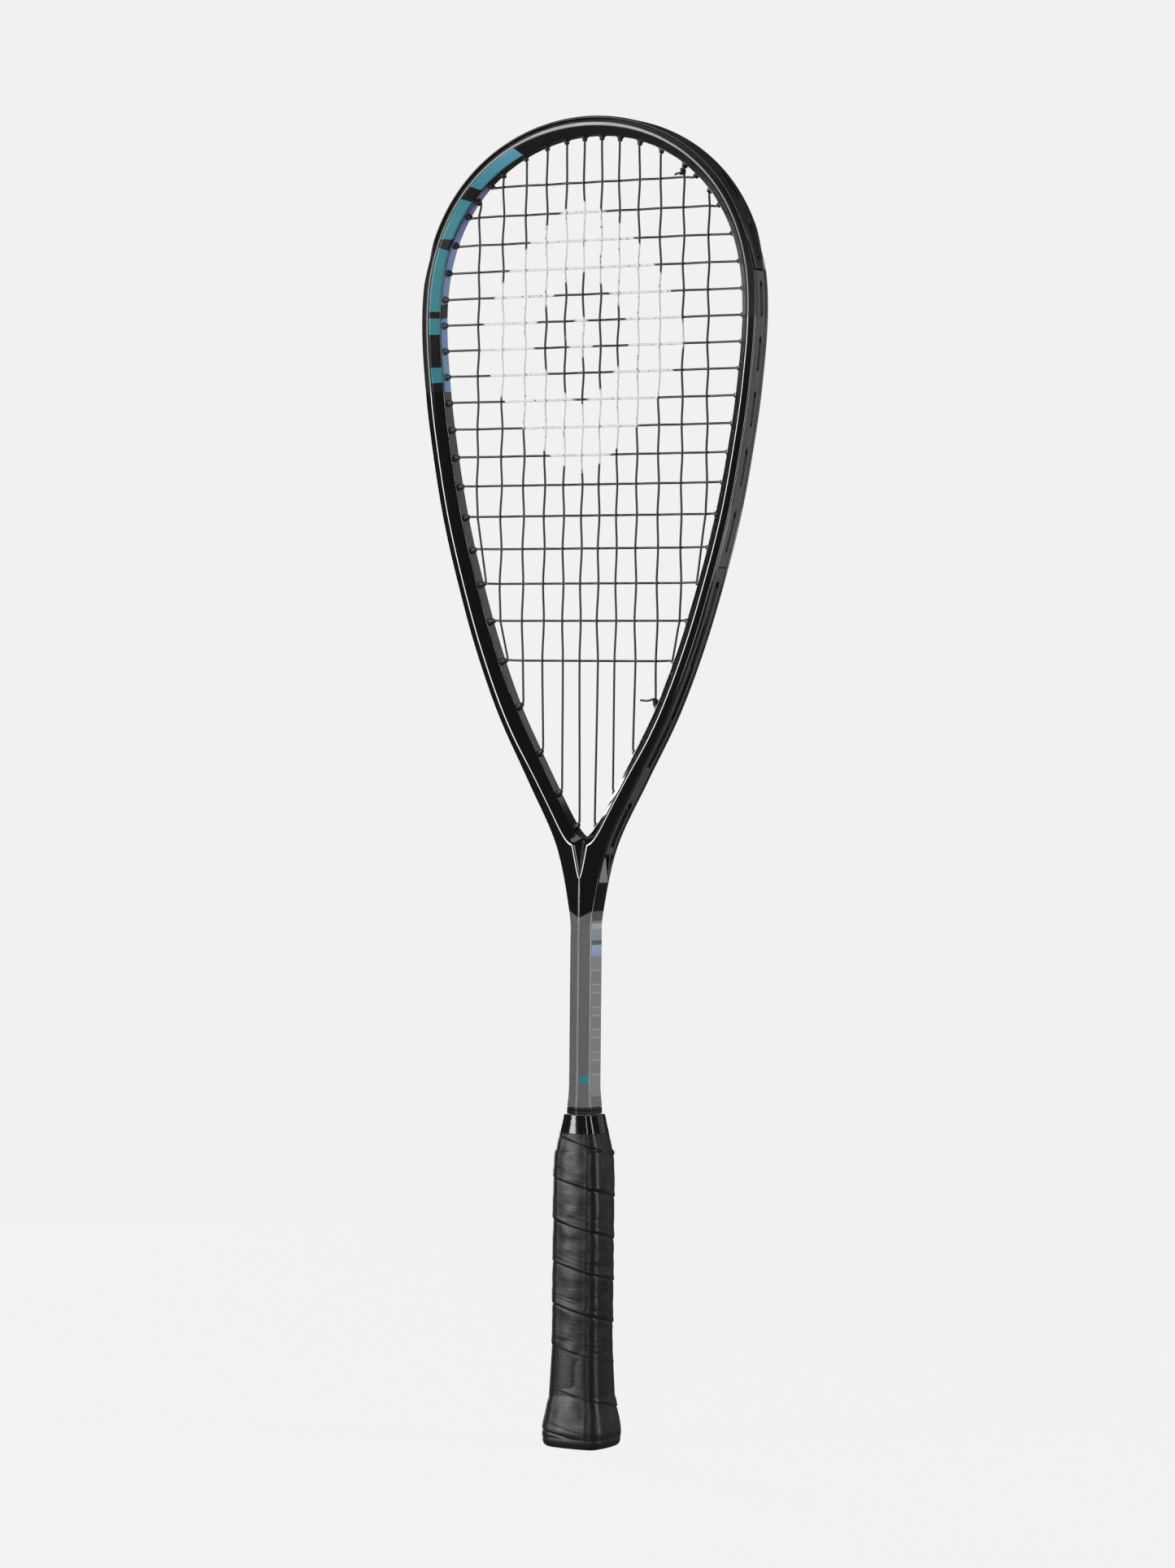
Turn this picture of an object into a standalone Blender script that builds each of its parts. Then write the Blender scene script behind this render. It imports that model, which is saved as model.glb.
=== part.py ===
"""Squash racket: a moulded hoop and shaft, its bumper and grommet strips, one woven string, a wrapped handle.

World frame: metres, +Z up the racket from the bottom of the butt, X across the head, -Y the front face.
The racket is the same on both sides of X = 0 except for its string, so walls and holes are worked out for
the right side (+X) and mirrored.
"""

import math
from dataclasses import dataclass, replace

import bmesh
import bpy
import numpy as np
from mathutils import Matrix, Vector

MM = 0.001

# Lengths along the racket, from the butt to the crown
HANDLE_LENGTH = 176.0 * MM
SHAFT_LENGTH = 86.0 * MM
LIMB_LENGTH = 321.0 * MM  # top of the straight shaft to the widest part of the head
CROWN_RISE = 103.0 * MM  # widest part of the head to the top of the bumper

# Head and shaft, across and front to back
HEAD_WIDTH = 200.4 * MM
SHAFT_WIDTH = 13.0 * MM
BEAM = 15.4 * MM  # front ridge to back ridge
CROWN_POWER = 2.3  # 2 would make the crown an ellipse

# The limbs' outer face as a smooth curve: share of LIMB_LENGTH up from the shaft, and share of the way
# from the shaft's half width to the head's
LIMB_SHAPE = (
    (1.0, 1.0),
    (0.883, 0.970),
    (0.779, 0.916),
    (0.674, 0.843),
    (0.570, 0.743),
    (0.465, 0.623),
    (0.360, 0.472),
    (0.256, 0.280),
    (0.151, 0.094),
    (0.047, 0.009),
    (0.0, 0.0),
)

# Section of the hoop's tube
TUBE_WIDTH = 9.6 * MM  # inner wall to outer face
INNER_WALL_HEIGHT = 7.8 * MM  # front to back
RIDGE_INSET = 5.1 * MM  # the ridge's distance from the inner wall
HOOP_SIDE_HEIGHT = 13.4 * MM  # outer face, front to back
SHAFT_SIDE_HEIGHT = 10.4 * MM
SIDE_CHAMFER = 0.3 * MM
REBATE_STEP = 0.2 * MM  # length over which the seat of the bumper's flanges ends
SHAFT_WALL = 1.5 * MM

# Throat
THROAT_HEIGHT = 52.8 * MM  # bottom of the opening above the straight shaft
THROAT_RADIUS = 3.5 * MM
THROAT_RISE = 46.0 * MM  # height over which the inner walls curve together
THROAT_FALL = 11.0 * MM  # how far lower the outer face is at the bottom of the opening
RIDGE_MEETING = 21.0 * MM  # the two limbs' ridges meet this far below the opening

# String and its pattern; the shares are of the string bed's half width and height
STRING_DIAMETER = 1.15 * MM
MAIN_COUNT = 12
CROSS_COUNT = 17
MAIN_FIRST, MAIN_STEP, MAIN_GROWTH = 0.0571, 0.1132, 0.0055
CROSS_FIRST, CROSS_STEP, CROSS_GROWTH = 0.066, 0.0371, 0.0054
TIGHTEST_GAP = 6  # the gap below cross 6 is the smallest
TIE_OFF_MAIN = 4  # counted from the middle: its crown hole also takes the string's first end
END_TIE_MAIN = 3  # its throat hole also takes the string's last end
HITCH_TURN = 0.8  # of a whole turn round the main
HITCH_DROP = 0.6 * MM  # of the hitch into the bed from the main's bend
HITCH_STEPS = 9

# Grommets
CLEARANCE = 0.3 * MM  # between any two pieces that touch
BARREL_WALL = 0.65 * MM
BARREL_PROUD = 1.2 * MM  # how far a barrel stands out of the inner wall
STRIP_BASE = 0.8 * MM
CHANNEL_PLAY = 0.45 * MM  # between the string and each side of its channel
GROOVE_HEIGHT = 8.8 * MM
HOLE_LEAN = 0.35  # how far a hole turns from square to the wall towards its string
BUMPER_CROSSES = 4  # crosses on each side whose holes the bumper guards
SIDE_CROSSES = 14  # the side strip ends after this cross
BUMPER_FLANGE = 1.2 * MM
BUMPER_HEIGHT = 13.8 * MM
BUMPER_TONGUE = 22.0 * MM  # length over which each end narrows to the groove
BUMPER_CHAMFER = 1.0 * MM
EDGE_STEP = 0.4 * MM  # from the bumper's face back to its chamfer
STRIP_SINK = 0.2 * MM  # of a strip's rails below the hoop's outer face
STRIP_TAIL = 5.0 * MM  # of a throat strip past its last hole
GROOVE_TAIL = 1.4 * MM  # of the groove past the throat strip
GROOVE_SLOPE = 0.182  # of the groove's floor where it fades out below the throat strips
GROOVE_DRAFT = 0.1 * MM

# Handle
GRIP_WIDTH = 28.0 * MM
GRIP_DEPTH = 25.0 * MM
GRIP_CORNER = 6.5 * MM
SMALLEST_CORNER = 1.5 * MM
GRIP_THICKNESS = 1.8 * MM
TAPE_THICKNESS = 0.5 * MM
TAPE_LENGTH = 10.0 * MM
TAPE_OVERLAP = 2.0 * MM  # of the tape over the grip
COLLAR_LENGTH = 3.6 * MM
SHAFT_FLARE = 0.8 * MM
FLARE_LENGTH = 12.0 * MM
CAP_FLOOR = 4.0 * MM
CAP_LENGTH = 28.0 * MM
CAP_WALL = 1.6 * MM
CAP_BOTTOM_INSET = 4.0 * MM

# The rounded bottom edge of the cap: share of CAP_FLOOR, then share of CAP_BOTTOM_INSET
CAP_EDGE = ((0.0, 1.0), (0.25, 0.4), (0.6, 0.1))

STAPLE_WIDTH = 9.0 * MM
STAPLE_WIRE = 0.7 * MM
STAPLE_LEG = 5.0 * MM
STAPLE_HEIGHT = 18.0 * MM

# The handle's swell: share of HANDLE_LENGTH above the butt, then width and depth against the straight part.
# Its top is as deep as the shaft inside it needs.
HANDLE_SHAPE = (
    (0.0, 1.22, 1.22),
    (0.05, 1.285, 1.285),
    (0.13, 1.135, 1.135),
    (0.24, 1.0, 1.0),
    (0.80, 1.0, 1.0),
    (0.88, 0.89, min(1.0, (BEAM + 7.85 * MM) / GRIP_DEPTH)),
    (0.955, 0.67, (BEAM + 4.85 * MM) / GRIP_DEPTH),
    (1.0, 0.57, (BEAM + 3.6 * MM) / GRIP_DEPTH),
)

# Heights at which the grip and the foam have a ring of points, as shares of HANDLE_LENGTH
GRIP_STATIONS = (0.05, 0.09, 0.13, 0.18, 0.24, 0.52, 0.80, 0.84, 0.88)
CAP_STATIONS = 5
TAPE_STATIONS = 5

SHAFT_TOP = HANDLE_LENGTH + SHAFT_LENGTH
WIDEST = SHAFT_TOP + LIMB_LENGTH
THROAT_BOTTOM = SHAFT_TOP + THROAT_HEIGHT
LANE = (STRING_DIAMETER + CLEARANCE) / 2  # two strings in one hole or channel lie this far off its middle
WEAVE = STRING_DIAMETER + CLEARANCE  # a main's distance from the crosses where it passes them
CHANNEL_DEPTH = STRING_DIAMETER + CLEARANCE
GROOVE_DEPTH = CHANNEL_DEPTH + STRIP_BASE + CLEARANCE
GROOVE_FADE = GROOVE_DEPTH / GROOVE_SLOPE
NARROW_CHANNEL = STRING_DIAMETER / 2 + CHANNEL_PLAY
WIDE_CHANNEL = NARROW_CHANNEL + LANE
BEND_CLEARANCE = 0.9 * MM  # a string bends this far in front of its barrel
STATION_SPACING = 14.0 * MM
CHANNEL_STEP = 9.0 * MM
LANE_CHANGE = 4.0 * MM  # a string moves over to its lane within this length of channel
PAST = 3.0 * MM  # how far a drill runs out of the piece at each end
WELD = 0.001 * MM
STEP_RISE = 0.05 * MM  # height over which a sleeve's size steps
CROWN_STEPS = 160
LIMB_STEPS = 16  # between two points of LIMB_SHAPE


# ---------------------------------------------------------------- lines in the plane of the strings


def smooth_curve(points, steps):
    """Points along the smooth curve through the given (x, z) points, level at both ends in x."""
    points = np.array(points)
    slopes = np.gradient(points, axis=0)
    slopes[0] = (0.0, points[1, 1] - points[0, 1])
    slopes[-1] = (0.0, points[-1, 1] - points[-2, 1])
    found = [points[0]]
    for start, end, out, back in zip(points, points[1:], slopes, slopes[1:]):
        for t in np.linspace(0.0, 1.0, steps + 1)[1:]:
            found.append(
                start * (2 * t**3 - 3 * t**2 + 1)
                + out * (t**3 - 2 * t**2 + t)
                + end * (3 * t**2 - 2 * t**3)
                + back * (t**3 - t**2)
            )
    return np.array(found)


class Wall:
    """A line in the plane of the strings, from the crown down the right side, with its outward normals."""

    def __init__(self, points):
        self.points = np.asarray(points)
        steps = np.diff(self.points, axis=0)
        self.reach = np.concatenate(([0.0], np.cumsum(np.hypot(steps[:, 0], steps[:, 1]))))
        along = np.gradient(self.points, self.reach, axis=0)
        normals = np.column_stack((-along[:, 1], along[:, 0]))
        normals[0] = (0.0, 1.0)
        self.normals = normals / np.linalg.norm(normals, axis=1)[:, None]

    def at(self, reach):
        """The point this far along the wall."""
        return np.array([np.interp(reach, self.reach, self.points[:, axis]) for axis in (0, 1)])

    def normal(self, reach):
        """The outward normal this far along the wall."""
        found = np.array([np.interp(reach, self.reach, self.normals[:, axis]) for axis in (0, 1)])
        return found / np.linalg.norm(found)

    def shifted(self, distance):
        """The wall moved outwards by a distance."""
        return Wall(self.points + distance * self.normals)

    def where(self, axis, value, after=0.0):
        """How far along the wall its x (axis 0) or z (axis 1) first passes a value, past a given reach."""
        offset = self.points[:, axis] - value
        for i in range(len(offset) - 1):
            if self.reach[i] >= after and offset[i] * offset[i + 1] <= 0:
                share = offset[i] / (offset[i] - offset[i + 1])
                return self.reach[i] + share * (self.reach[i + 1] - self.reach[i])
        raise ValueError("the wall doesn't reach that value")

    def hit(self, origin, direction):
        """How far along the wall a ray from origin meets it first."""
        offset = self.points - origin
        ahead = offset @ direction
        aside = direction[0] * offset[:, 1] - direction[1] * offset[:, 0]
        crossings = []
        for i in range(len(aside) - 1):
            if aside[i] * aside[i + 1] <= 0 and ahead[i] > 0:
                share = aside[i] / (aside[i] - aside[i + 1])
                crossings.append((ahead[i], self.reach[i] + share * (self.reach[i + 1] - self.reach[i])))
        return min(crossings)[1]


def outer_wall():
    """The hoop's outer face: a crown a little fuller than an ellipse, then the limb's smooth curve."""
    turn = np.linspace(0.0, math.pi / 2, CROWN_STEPS)
    crown = np.column_stack(
        (
            HEAD_WIDTH / 2 * np.sin(turn),
            WIDEST + CROWN_RISE * np.abs(np.cos(turn)) ** (2 / CROWN_POWER),
        )
    )
    spread = (HEAD_WIDTH - SHAFT_WIDTH) / 2
    limb = smooth_curve(
        [(SHAFT_WIDTH / 2 + out * spread, SHAFT_TOP + up * LIMB_LENGTH) for up, out in LIMB_SHAPE],
        LIMB_STEPS,
    )
    return Wall(np.vstack((crown[:-1], limb)))


def inner_wall(outer):
    """The hoop's inner wall: an even distance in from the outer face, then the opening's rounded foot."""
    even = outer.shifted(-TUBE_WIDTH)
    join = THROAT_BOTTOM + THROAT_RISE
    join_x = even.at(even.where(1, join, even.reach[CROWN_STEPS]))[0]
    slope = (join_x**2 - 2 * THROAT_RADIUS * THROAT_RISE) / THROAT_RISE**2
    rise = THROAT_RISE * np.linspace(1.0, 0.0, CROWN_STEPS) ** 2
    foot = np.column_stack((np.sqrt(2 * THROAT_RADIUS * rise + slope * rise**2), THROAT_BOTTOM + rise))
    return Wall(np.vstack((even.points[even.points[:, 1] > join], foot)))


OUTER = outer_wall()
INNER = inner_wall(OUTER)
CHANNEL = OUTER.shifted(-STRING_DIAMETER / 2)
BEND_LINE = INNER.shifted(-(BARREL_PROUD + BEND_CLEARANCE))
BED_HALF_WIDTH = HEAD_WIDTH / 2 - TUBE_WIDTH
BED_HEIGHT = WIDEST + CROWN_RISE - TUBE_WIDTH - THROAT_BOTTOM


# ---------------------------------------------------------------- string pattern and grommet holes


@dataclass(frozen=True)
class Hole:
    """One grommet hole, in the plane of the strings."""

    inner: tuple  # on the hoop's inner wall
    direction: tuple  # outwards
    reach: float  # of its mouth, along the string channel
    side: int  # +1 on the right, -1 on the left
    wide: bool  # takes two strings

    def point(self, distance, y=0.0):
        """A point on or beside the hole's axis, a distance outwards from the inner wall."""
        x, z = np.array(self.inner) + distance * np.array(self.direction)
        return Vector((x * self.side, y, z))

    def mouth(self, y):
        """Where the string turns from the hole into its channel."""
        x, z = CHANNEL.at(self.reach)
        return Vector((x * self.side, y, z))

    def bend(self, y):
        """Where the string turns from the hole to its place in the bed."""
        return self.point(-(BARREL_PROUD + BEND_CLEARANCE), y)

    def bore_radius(self):
        """Room for one string, or for two side by side."""
        return STRING_DIAMETER / 2 + CLEARANCE + (LANE if self.wide else 0.0)

    def barrel_radius(self):
        return self.bore_radius() + BARREL_WALL

    def drill_radius(self):
        return self.barrel_radius() + CLEARANCE

    def mirrored(self):
        return replace(self, side=-self.side)


def make_hole(reach, toward, wide):
    """The hole whose string bends at this reach along the bend line and leaves the bed in this direction."""
    square = BEND_LINE.normal(reach)
    direction = square + HOLE_LEAN * np.array(toward)
    direction = direction / np.linalg.norm(direction)
    inner = BEND_LINE.at(reach) + direction * (BARREL_PROUD + BEND_CLEARANCE)
    return Hole(tuple(inner), tuple(direction), CHANNEL.hit(inner, direction), 1, wide)


def main_x(place):
    """A main's distance from the middle; the middle two have place 0."""
    return BED_HALF_WIDTH * (MAIN_FIRST + MAIN_STEP * place + MAIN_GROWTH * place**2)


def cross_heights():
    """The crosses' heights, from the crown down."""
    heights = [THROAT_BOTTOM + BED_HEIGHT * (1 - CROSS_FIRST)]
    for gap in range(1, CROSS_COUNT):
        heights.append(heights[-1] - BED_HEIGHT * CROSS_STEP * (1 + CROSS_GROWTH * (gap - TIGHTEST_GAP) ** 2))
    return heights


CROSS_Z = cross_heights()
HALF_MAINS = MAIN_COUNT // 2
LOW_CROSSES = (15, 16, 17)
LOW_HOLES = {HALF_MAINS - 2: 17, HALF_MAINS - 1: 15}  # outer mains that share a cross's hole


def right_holes():
    """Every hole on the right side, by ('top' or 'bottom', main's place) or ('cross', number)."""
    widest = BEND_LINE.where(1, WIDEST)
    holes = {}
    for place in range(HALF_MAINS):
        x = main_x(place)
        holes["top", place] = make_hole(BEND_LINE.where(0, x), (0.0, 1.0), place >= TIE_OFF_MAIN)
        if place not in LOW_HOLES:
            reach = BEND_LINE.where(0, x, widest)
            holes["bottom", place] = make_hole(reach, (0.0, -1.0), place == END_TIE_MAIN)
    for number, height in enumerate(CROSS_Z, 1):
        wide = number == 1 or number in LOW_CROSSES
        holes["cross", number] = make_hole(BEND_LINE.where(1, height), (1.0, 0.0), wide)
    for place, number in LOW_HOLES.items():
        holes["bottom", place] = holes["cross", number]
    return holes


RIGHT = right_holes()
LEFT = {name: hole.mirrored() for name, hole in RIGHT.items()}


def middle_reach(first, second):
    """Halfway between two holes along the outer face."""
    return (RIGHT[first].reach + RIGHT[second].reach) / 2


BUMPER_END = middle_reach(("cross", BUMPER_CROSSES), ("cross", BUMPER_CROSSES + 1))
SIDE_END = middle_reach(("cross", SIDE_CROSSES), ("cross", SIDE_CROSSES + 1))
THROAT_STRIP_END = RIGHT["bottom", 0].reach + STRIP_TAIL
GROOVE_END = THROAT_STRIP_END + GROOVE_TAIL


# ---------------------------------------------------------------- mesh helpers


def loft(rings, loop=False, caps=True, seam_open_from=None):
    """A mesh of faces between rings of equal length; a loop joins the last ring to the first.

    From the ring numbered seam_open_from on, the face between a ring's last and first points is left out.
    """
    bm = bmesh.new()
    rows = [[bm.verts.new(point) for point in ring] for ring in rings]
    if loop:
        rows.append(rows[0])
    for number, (low, high) in enumerate(zip(rows, rows[1:])):
        count = len(low)
        if seam_open_from is not None and number >= seam_open_from:
            count -= 1
        for i in range(count):
            j = (i + 1) % len(low)
            bm.faces.new((low[i], low[j], high[j], high[i]))
    if caps and not loop:
        bm.faces.new(rows[-1])
        if seam_open_from is None:
            bm.faces.new(reversed(rows[0]))
    bmesh.ops.remove_doubles(bm, verts=bm.verts, dist=WELD)
    bmesh.ops.recalc_face_normals(bm, faces=bm.faces)
    return bm


def merged(parts):
    """Several closed meshes in one bmesh, for a cutter or for shapes that a union will join."""
    whole = bmesh.new()
    for part in parts:
        mesh = bpy.data.meshes.new("piece")
        part.to_mesh(mesh)
        part.free()
        whole.from_mesh(mesh)
        bpy.data.meshes.remove(mesh)
    return whole


def add_object(name, bm, material):
    """A named object from a bmesh, shaded smooth where it is round."""
    mesh = bpy.data.meshes.new(name)
    bm.to_mesh(mesh)
    bm.free()
    mesh.shade_smooth()
    mesh.set_sharp_from_angle(angle=math.radians(35))
    mesh.materials.append(material)
    made = bpy.data.objects.new(name, mesh)
    bpy.context.scene.collection.objects.link(made)
    return made


def add_cutter(name, bm):
    """A helper shape for a Boolean, left out of the finished part."""
    mesh = bpy.data.meshes.new(name)
    bm.to_mesh(mesh)
    bm.free()
    cutter = bpy.data.objects.new(name, mesh)
    cutter.hide_render = True
    cutter.display_type = "WIRE"
    bpy.context.scene.collection.objects.link(cutter)
    return cutter


def boolean(target, tool, operation):
    """Joins or cuts the target with the tool."""
    modifier = target.modifiers.new(tool.name, "BOOLEAN")
    modifier.operation = operation
    modifier.solver = "EXACT"
    modifier.use_self = True
    modifier.object = tool


def hex_colour(code):
    """An sRGB hex colour as linear RGBA."""
    channels = [int(code[i : i + 2], 16) / 255 for i in (1, 3, 5)]
    linear = [c / 12.92 if c <= 0.04045 else ((c + 0.055) / 1.055) ** 2.4 for c in channels]
    return (*linear, 1.0)


def make_material(name, colour, roughness, metallic=0.0):
    """A plain Principled material."""
    material = bpy.data.materials.new(name)
    material.use_nodes = True
    shader = material.node_tree.nodes["Principled BSDF"]
    shader.inputs["Base Color"].default_value = hex_colour(colour)
    shader.inputs["Roughness"].default_value = roughness
    shader.inputs["Metallic"].default_value = metallic
    return material


# ---------------------------------------------------------------- frame


def shaft_slope():
    """How fast the shaft's front face falls from its ridge to its sides."""
    return (BEAM - SHAFT_SIDE_HEIGHT) / SHAFT_WIDTH


def shaft_corner(grown):
    """The ridge's and the side corner's half sizes on the shaft's six-sided section, grown by a margin."""
    ridge = BEAM / 2 + grown * math.hypot(1.0, shaft_slope())
    side_x = SHAFT_WIDTH / 2 + grown
    return ridge, side_x, ridge - shaft_slope() * side_x


def shaft_ring(grown, height):
    """The shaft's section, grown by a margin, at a height."""
    ridge, x, y = shaft_corner(grown)
    outline = ((0.0, -ridge), (x, -y), (x, y), (0.0, ridge), (-x, y), (-x, -y))
    return [(px, py, height) for px, py in outline]


@dataclass
class Section:
    """Half of the frame's section at one station, on the right side."""

    inner: np.ndarray
    outer: np.ndarray
    normal: np.ndarray
    ridge_inset: float = RIDGE_INSET
    inner_half: float = INNER_WALL_HEIGHT / 2
    ridge_half: float = BEAM / 2
    side_half: float = HOOP_SIDE_HEIGHT / 2
    groove: float = GROOVE_DEPTH
    lip_drop: float = 0.0

    def ring(self):
        """The section's points, front ones from the inside out and back ones from the outside in."""
        across = self.outer - self.inner
        ridge = self.inner + across * self.ridge_inset / np.linalg.norm(across)
        corner = self.outer - self.normal * (self.lip_drop + SIDE_CHAMFER)
        lip = self.outer - self.normal * self.lip_drop
        bed = self.outer - self.normal * self.groove
        half = (
            (self.inner, self.inner_half),
            (ridge, self.ridge_half),
            (corner, self.side_half),
            (lip, GROOVE_HEIGHT / 2 + GROOVE_DRAFT),
            (bed, GROOVE_HEIGHT / 2),
        )
        front = [(point[0], -y, point[1]) for point, y in half]
        back = [(point[0], y, point[1]) for point, y in reversed(half)]
        return front + back


def hoop_sections(join):
    """Sections square to the outer face, from the crown to where the throat begins."""
    count = math.ceil(join / STATION_SPACING)
    rebate_end = BUMPER_END + CLEARANCE
    reaches = sorted([*np.linspace(0.0, join, count + 1), rebate_end, rebate_end + REBATE_STEP])
    sections = []
    for reach in reaches:
        outer = OUTER.at(reach)
        normal = OUTER.normal(reach)
        section = Section(outer - normal * TUBE_WIDTH, outer, normal)
        if reach <= rebate_end:
            section.lip_drop = BUMPER_FLANGE + CLEARANCE
        sections.append(section)
    return sections


def groove_depth(reach):
    """The string groove's depth, which fades out below the throat strips."""
    share = np.clip((GROOVE_END + GROOVE_FADE - reach) / GROOVE_FADE, 0.0, 1.0)
    return GROOVE_DEPTH * share


def throat_sections(join, steps=7, merging=4):
    """Sections round the foot of the opening, then down to where the two limbs' ridges have met."""
    foot_reach = OUTER.where(1, THROAT_BOTTOM - THROAT_FALL, join)
    top = THROAT_BOTTOM + THROAT_RISE
    inner_join = INNER.where(1, top)
    sections = []
    for share in np.linspace(0.0, 1.0, steps + 1)[1:]:
        height = THROAT_BOTTOM + THROAT_RISE * (1 - share) ** 2
        inner = INNER.at(INNER.where(1, height, inner_join)) if share < 1 else np.array((0.0, THROAT_BOTTOM))
        reach = join + share * (foot_reach - join)
        section = Section(inner, OUTER.at(reach), OUTER.normal(reach))
        section.groove = groove_depth(reach)
        section.side_half = side_half(reach)
        sections.append(section)
    end_reach = OUTER.where(1, THROAT_BOTTOM - RIDGE_MEETING - THROAT_FALL, join)
    for share in np.linspace(0.0, 1.0, merging + 1)[1:]:
        reach = foot_reach + share * (end_reach - foot_reach)
        sections.append(
            Section(
                np.array((0.0, THROAT_BOTTOM - share * RIDGE_MEETING)),
                OUTER.at(reach),
                OUTER.normal(reach),
                ridge_inset=RIDGE_INSET * (1 - share),
                inner_half=INNER_WALL_HEIGHT / 2 * (1 - share) + BEAM / 2 * share,
                side_half=side_half(reach),
                groove=groove_depth(reach),
            )
        )
    return sections


def side_half(reach):
    """Half the outer face's height, which narrows from the hoop's to the shaft's along the throat."""
    start = OUTER.where(1, THROAT_BOTTOM + THROAT_RISE, CHANNEL.reach[CROWN_STEPS])
    share = np.clip((reach - start) / (OUTER.reach[-1] - start), 0.0, 1.0)
    return (HOOP_SIDE_HEIGHT * (1 - share) + SHAFT_SIDE_HEIGHT * share) / 2


def shaft_sections():
    """Sections of the straight shaft, its flare above the collar and its stretch inside the handle."""
    flare_start = HANDLE_LENGTH + FLARE_LENGTH
    stations = (
        (SHAFT_TOP, 0.0),
        (flare_start, 0.0),
        (HANDLE_LENGTH, SHAFT_FLARE),
        (HANDLE_LENGTH - STEP_RISE, 0.0),
        (CAP_FLOOR + CLEARANCE, 0.0),
    )
    sections = []
    for height, grown in stations:
        ridge, side_x, side_y = shaft_corner(grown)
        sections.append(
            Section(
                np.array((0.0, height)),
                np.array((side_x, height)),
                np.array((1.0, 0.0)),
                ridge_inset=0.0,
                inner_half=ridge,
                ridge_half=ridge,
                side_half=side_y,
                groove=0.0,
            )
        )
    return sections


def drill(hole, radius, start, end, sides=6):
    """A six-sided prism along a hole's axis between two distances from the inner wall."""
    direction = (hole.point(end) - hole.point(start)).normalized()
    across = direction.cross(Vector((0.0, 1.0, 0.0)))
    turns = [2 * math.pi * i / sides for i in range(sides)]
    offsets = [radius * (math.sin(turn) * across + Vector((0.0, math.cos(turn), 0.0))) for turn in turns]
    return loft([[hole.point(distance) + offset for offset in offsets] for distance in (start, end)])


def every_hole():
    """Each hole once, on both sides."""
    return list(dict.fromkeys([*RIGHT.values(), *LEFT.values()]))


def build_frame(paint):
    """The hoop, throat and shaft as one moulding, drilled for the grommets and hollow up the shaft."""
    even = OUTER.shifted(-TUBE_WIDTH)
    index = np.searchsorted(-even.points[CROWN_STEPS:, 1], -(THROAT_BOTTOM + THROAT_RISE)) + CROWN_STEPS
    join = OUTER.reach[index]
    hoop = hoop_sections(join)
    throat = throat_sections(join)
    sections = hoop + throat + shaft_sections()
    first_open = len(hoop) + sum(section.inner[0] > 0 for section in throat)
    bm = loft([section.ring() for section in sections], seam_open_from=first_open)
    half = bm.verts[:] + bm.edges[:] + bm.faces[:]
    bmesh.ops.mirror(bm, geom=half, matrix=Matrix(), merge_dist=WELD, axis="X")
    bmesh.ops.recalc_face_normals(bm, faces=bm.faces)
    frame = add_object("frame", bm, paint)
    drills = [drill(hole, hole.drill_radius(), -PAST, hole_length(hole) + PAST) for hole in every_hole()]
    boolean(frame, add_cutter("frame_drilling", merged(drills)), "DIFFERENCE")
    bore = loft([shaft_ring(-SHAFT_WALL, height) for height in (0.0, SHAFT_TOP)])
    boolean(frame, add_cutter("shaft_bore", bore), "DIFFERENCE")


def hole_length(hole):
    """From the inner wall to the string channel, along the hole."""
    return (hole.mouth(0.0) - hole.point(0.0)).length


# ---------------------------------------------------------------- bumper and grommet strips


def swept_band(profile_at, start, end, side):
    """A band along the outer face between two reaches; profile_at gives its (depth, y) points at a reach."""
    count = max(2, math.ceil(abs(end - start) / STATION_SPACING))
    rings = []
    for reach in np.linspace(start, end, count + 1):
        on_right = 1 if reach >= 0 else -1
        point, normal = OUTER.at(abs(reach)), OUTER.normal(abs(reach))
        ring = []
        for depth, y in profile_at(abs(reach)):
            x, z = point - normal * depth
            ring.append((x * on_right * side, y, z))
        rings.append(ring)
    return rings


def strip_profile(channel):
    """The section of a grommet strip: a flat base with a rail on each side of the string's channel."""
    half = GROOVE_HEIGHT / 2 - CLEARANCE
    base = GROOVE_DEPTH - CLEARANCE
    side = ((base, half), (STRIP_SINK, half), (STRIP_SINK, channel), (CHANNEL_DEPTH, channel))
    return [*side, *((depth, -y) for depth, y in reversed(side))]


def bumper_profile(reach):
    """The section of the bumper, whose flanges narrow to a tongue at each end."""
    half = GROOVE_HEIGHT / 2 - CLEARANCE
    share = np.clip((BUMPER_END - reach) / BUMPER_TONGUE, 0.0, 1.0)
    edge = half + STEP_RISE + (BUMPER_HEIGHT / 2 - half) * share
    chamfer = min(BUMPER_CHAMFER, (edge - WIDE_CHANNEL) / 3)
    side = (
        (GROOVE_DEPTH - CLEARANCE, half),
        (BUMPER_FLANGE, half),
        (BUMPER_FLANGE, edge),
        (EDGE_STEP, edge),
        (0.0, edge - chamfer),
        (0.0, WIDE_CHANNEL),
        (CHANNEL_DEPTH, WIDE_CHANNEL),
    )
    return [*side, *((depth, -y) for depth, y in reversed(side))]


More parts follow.
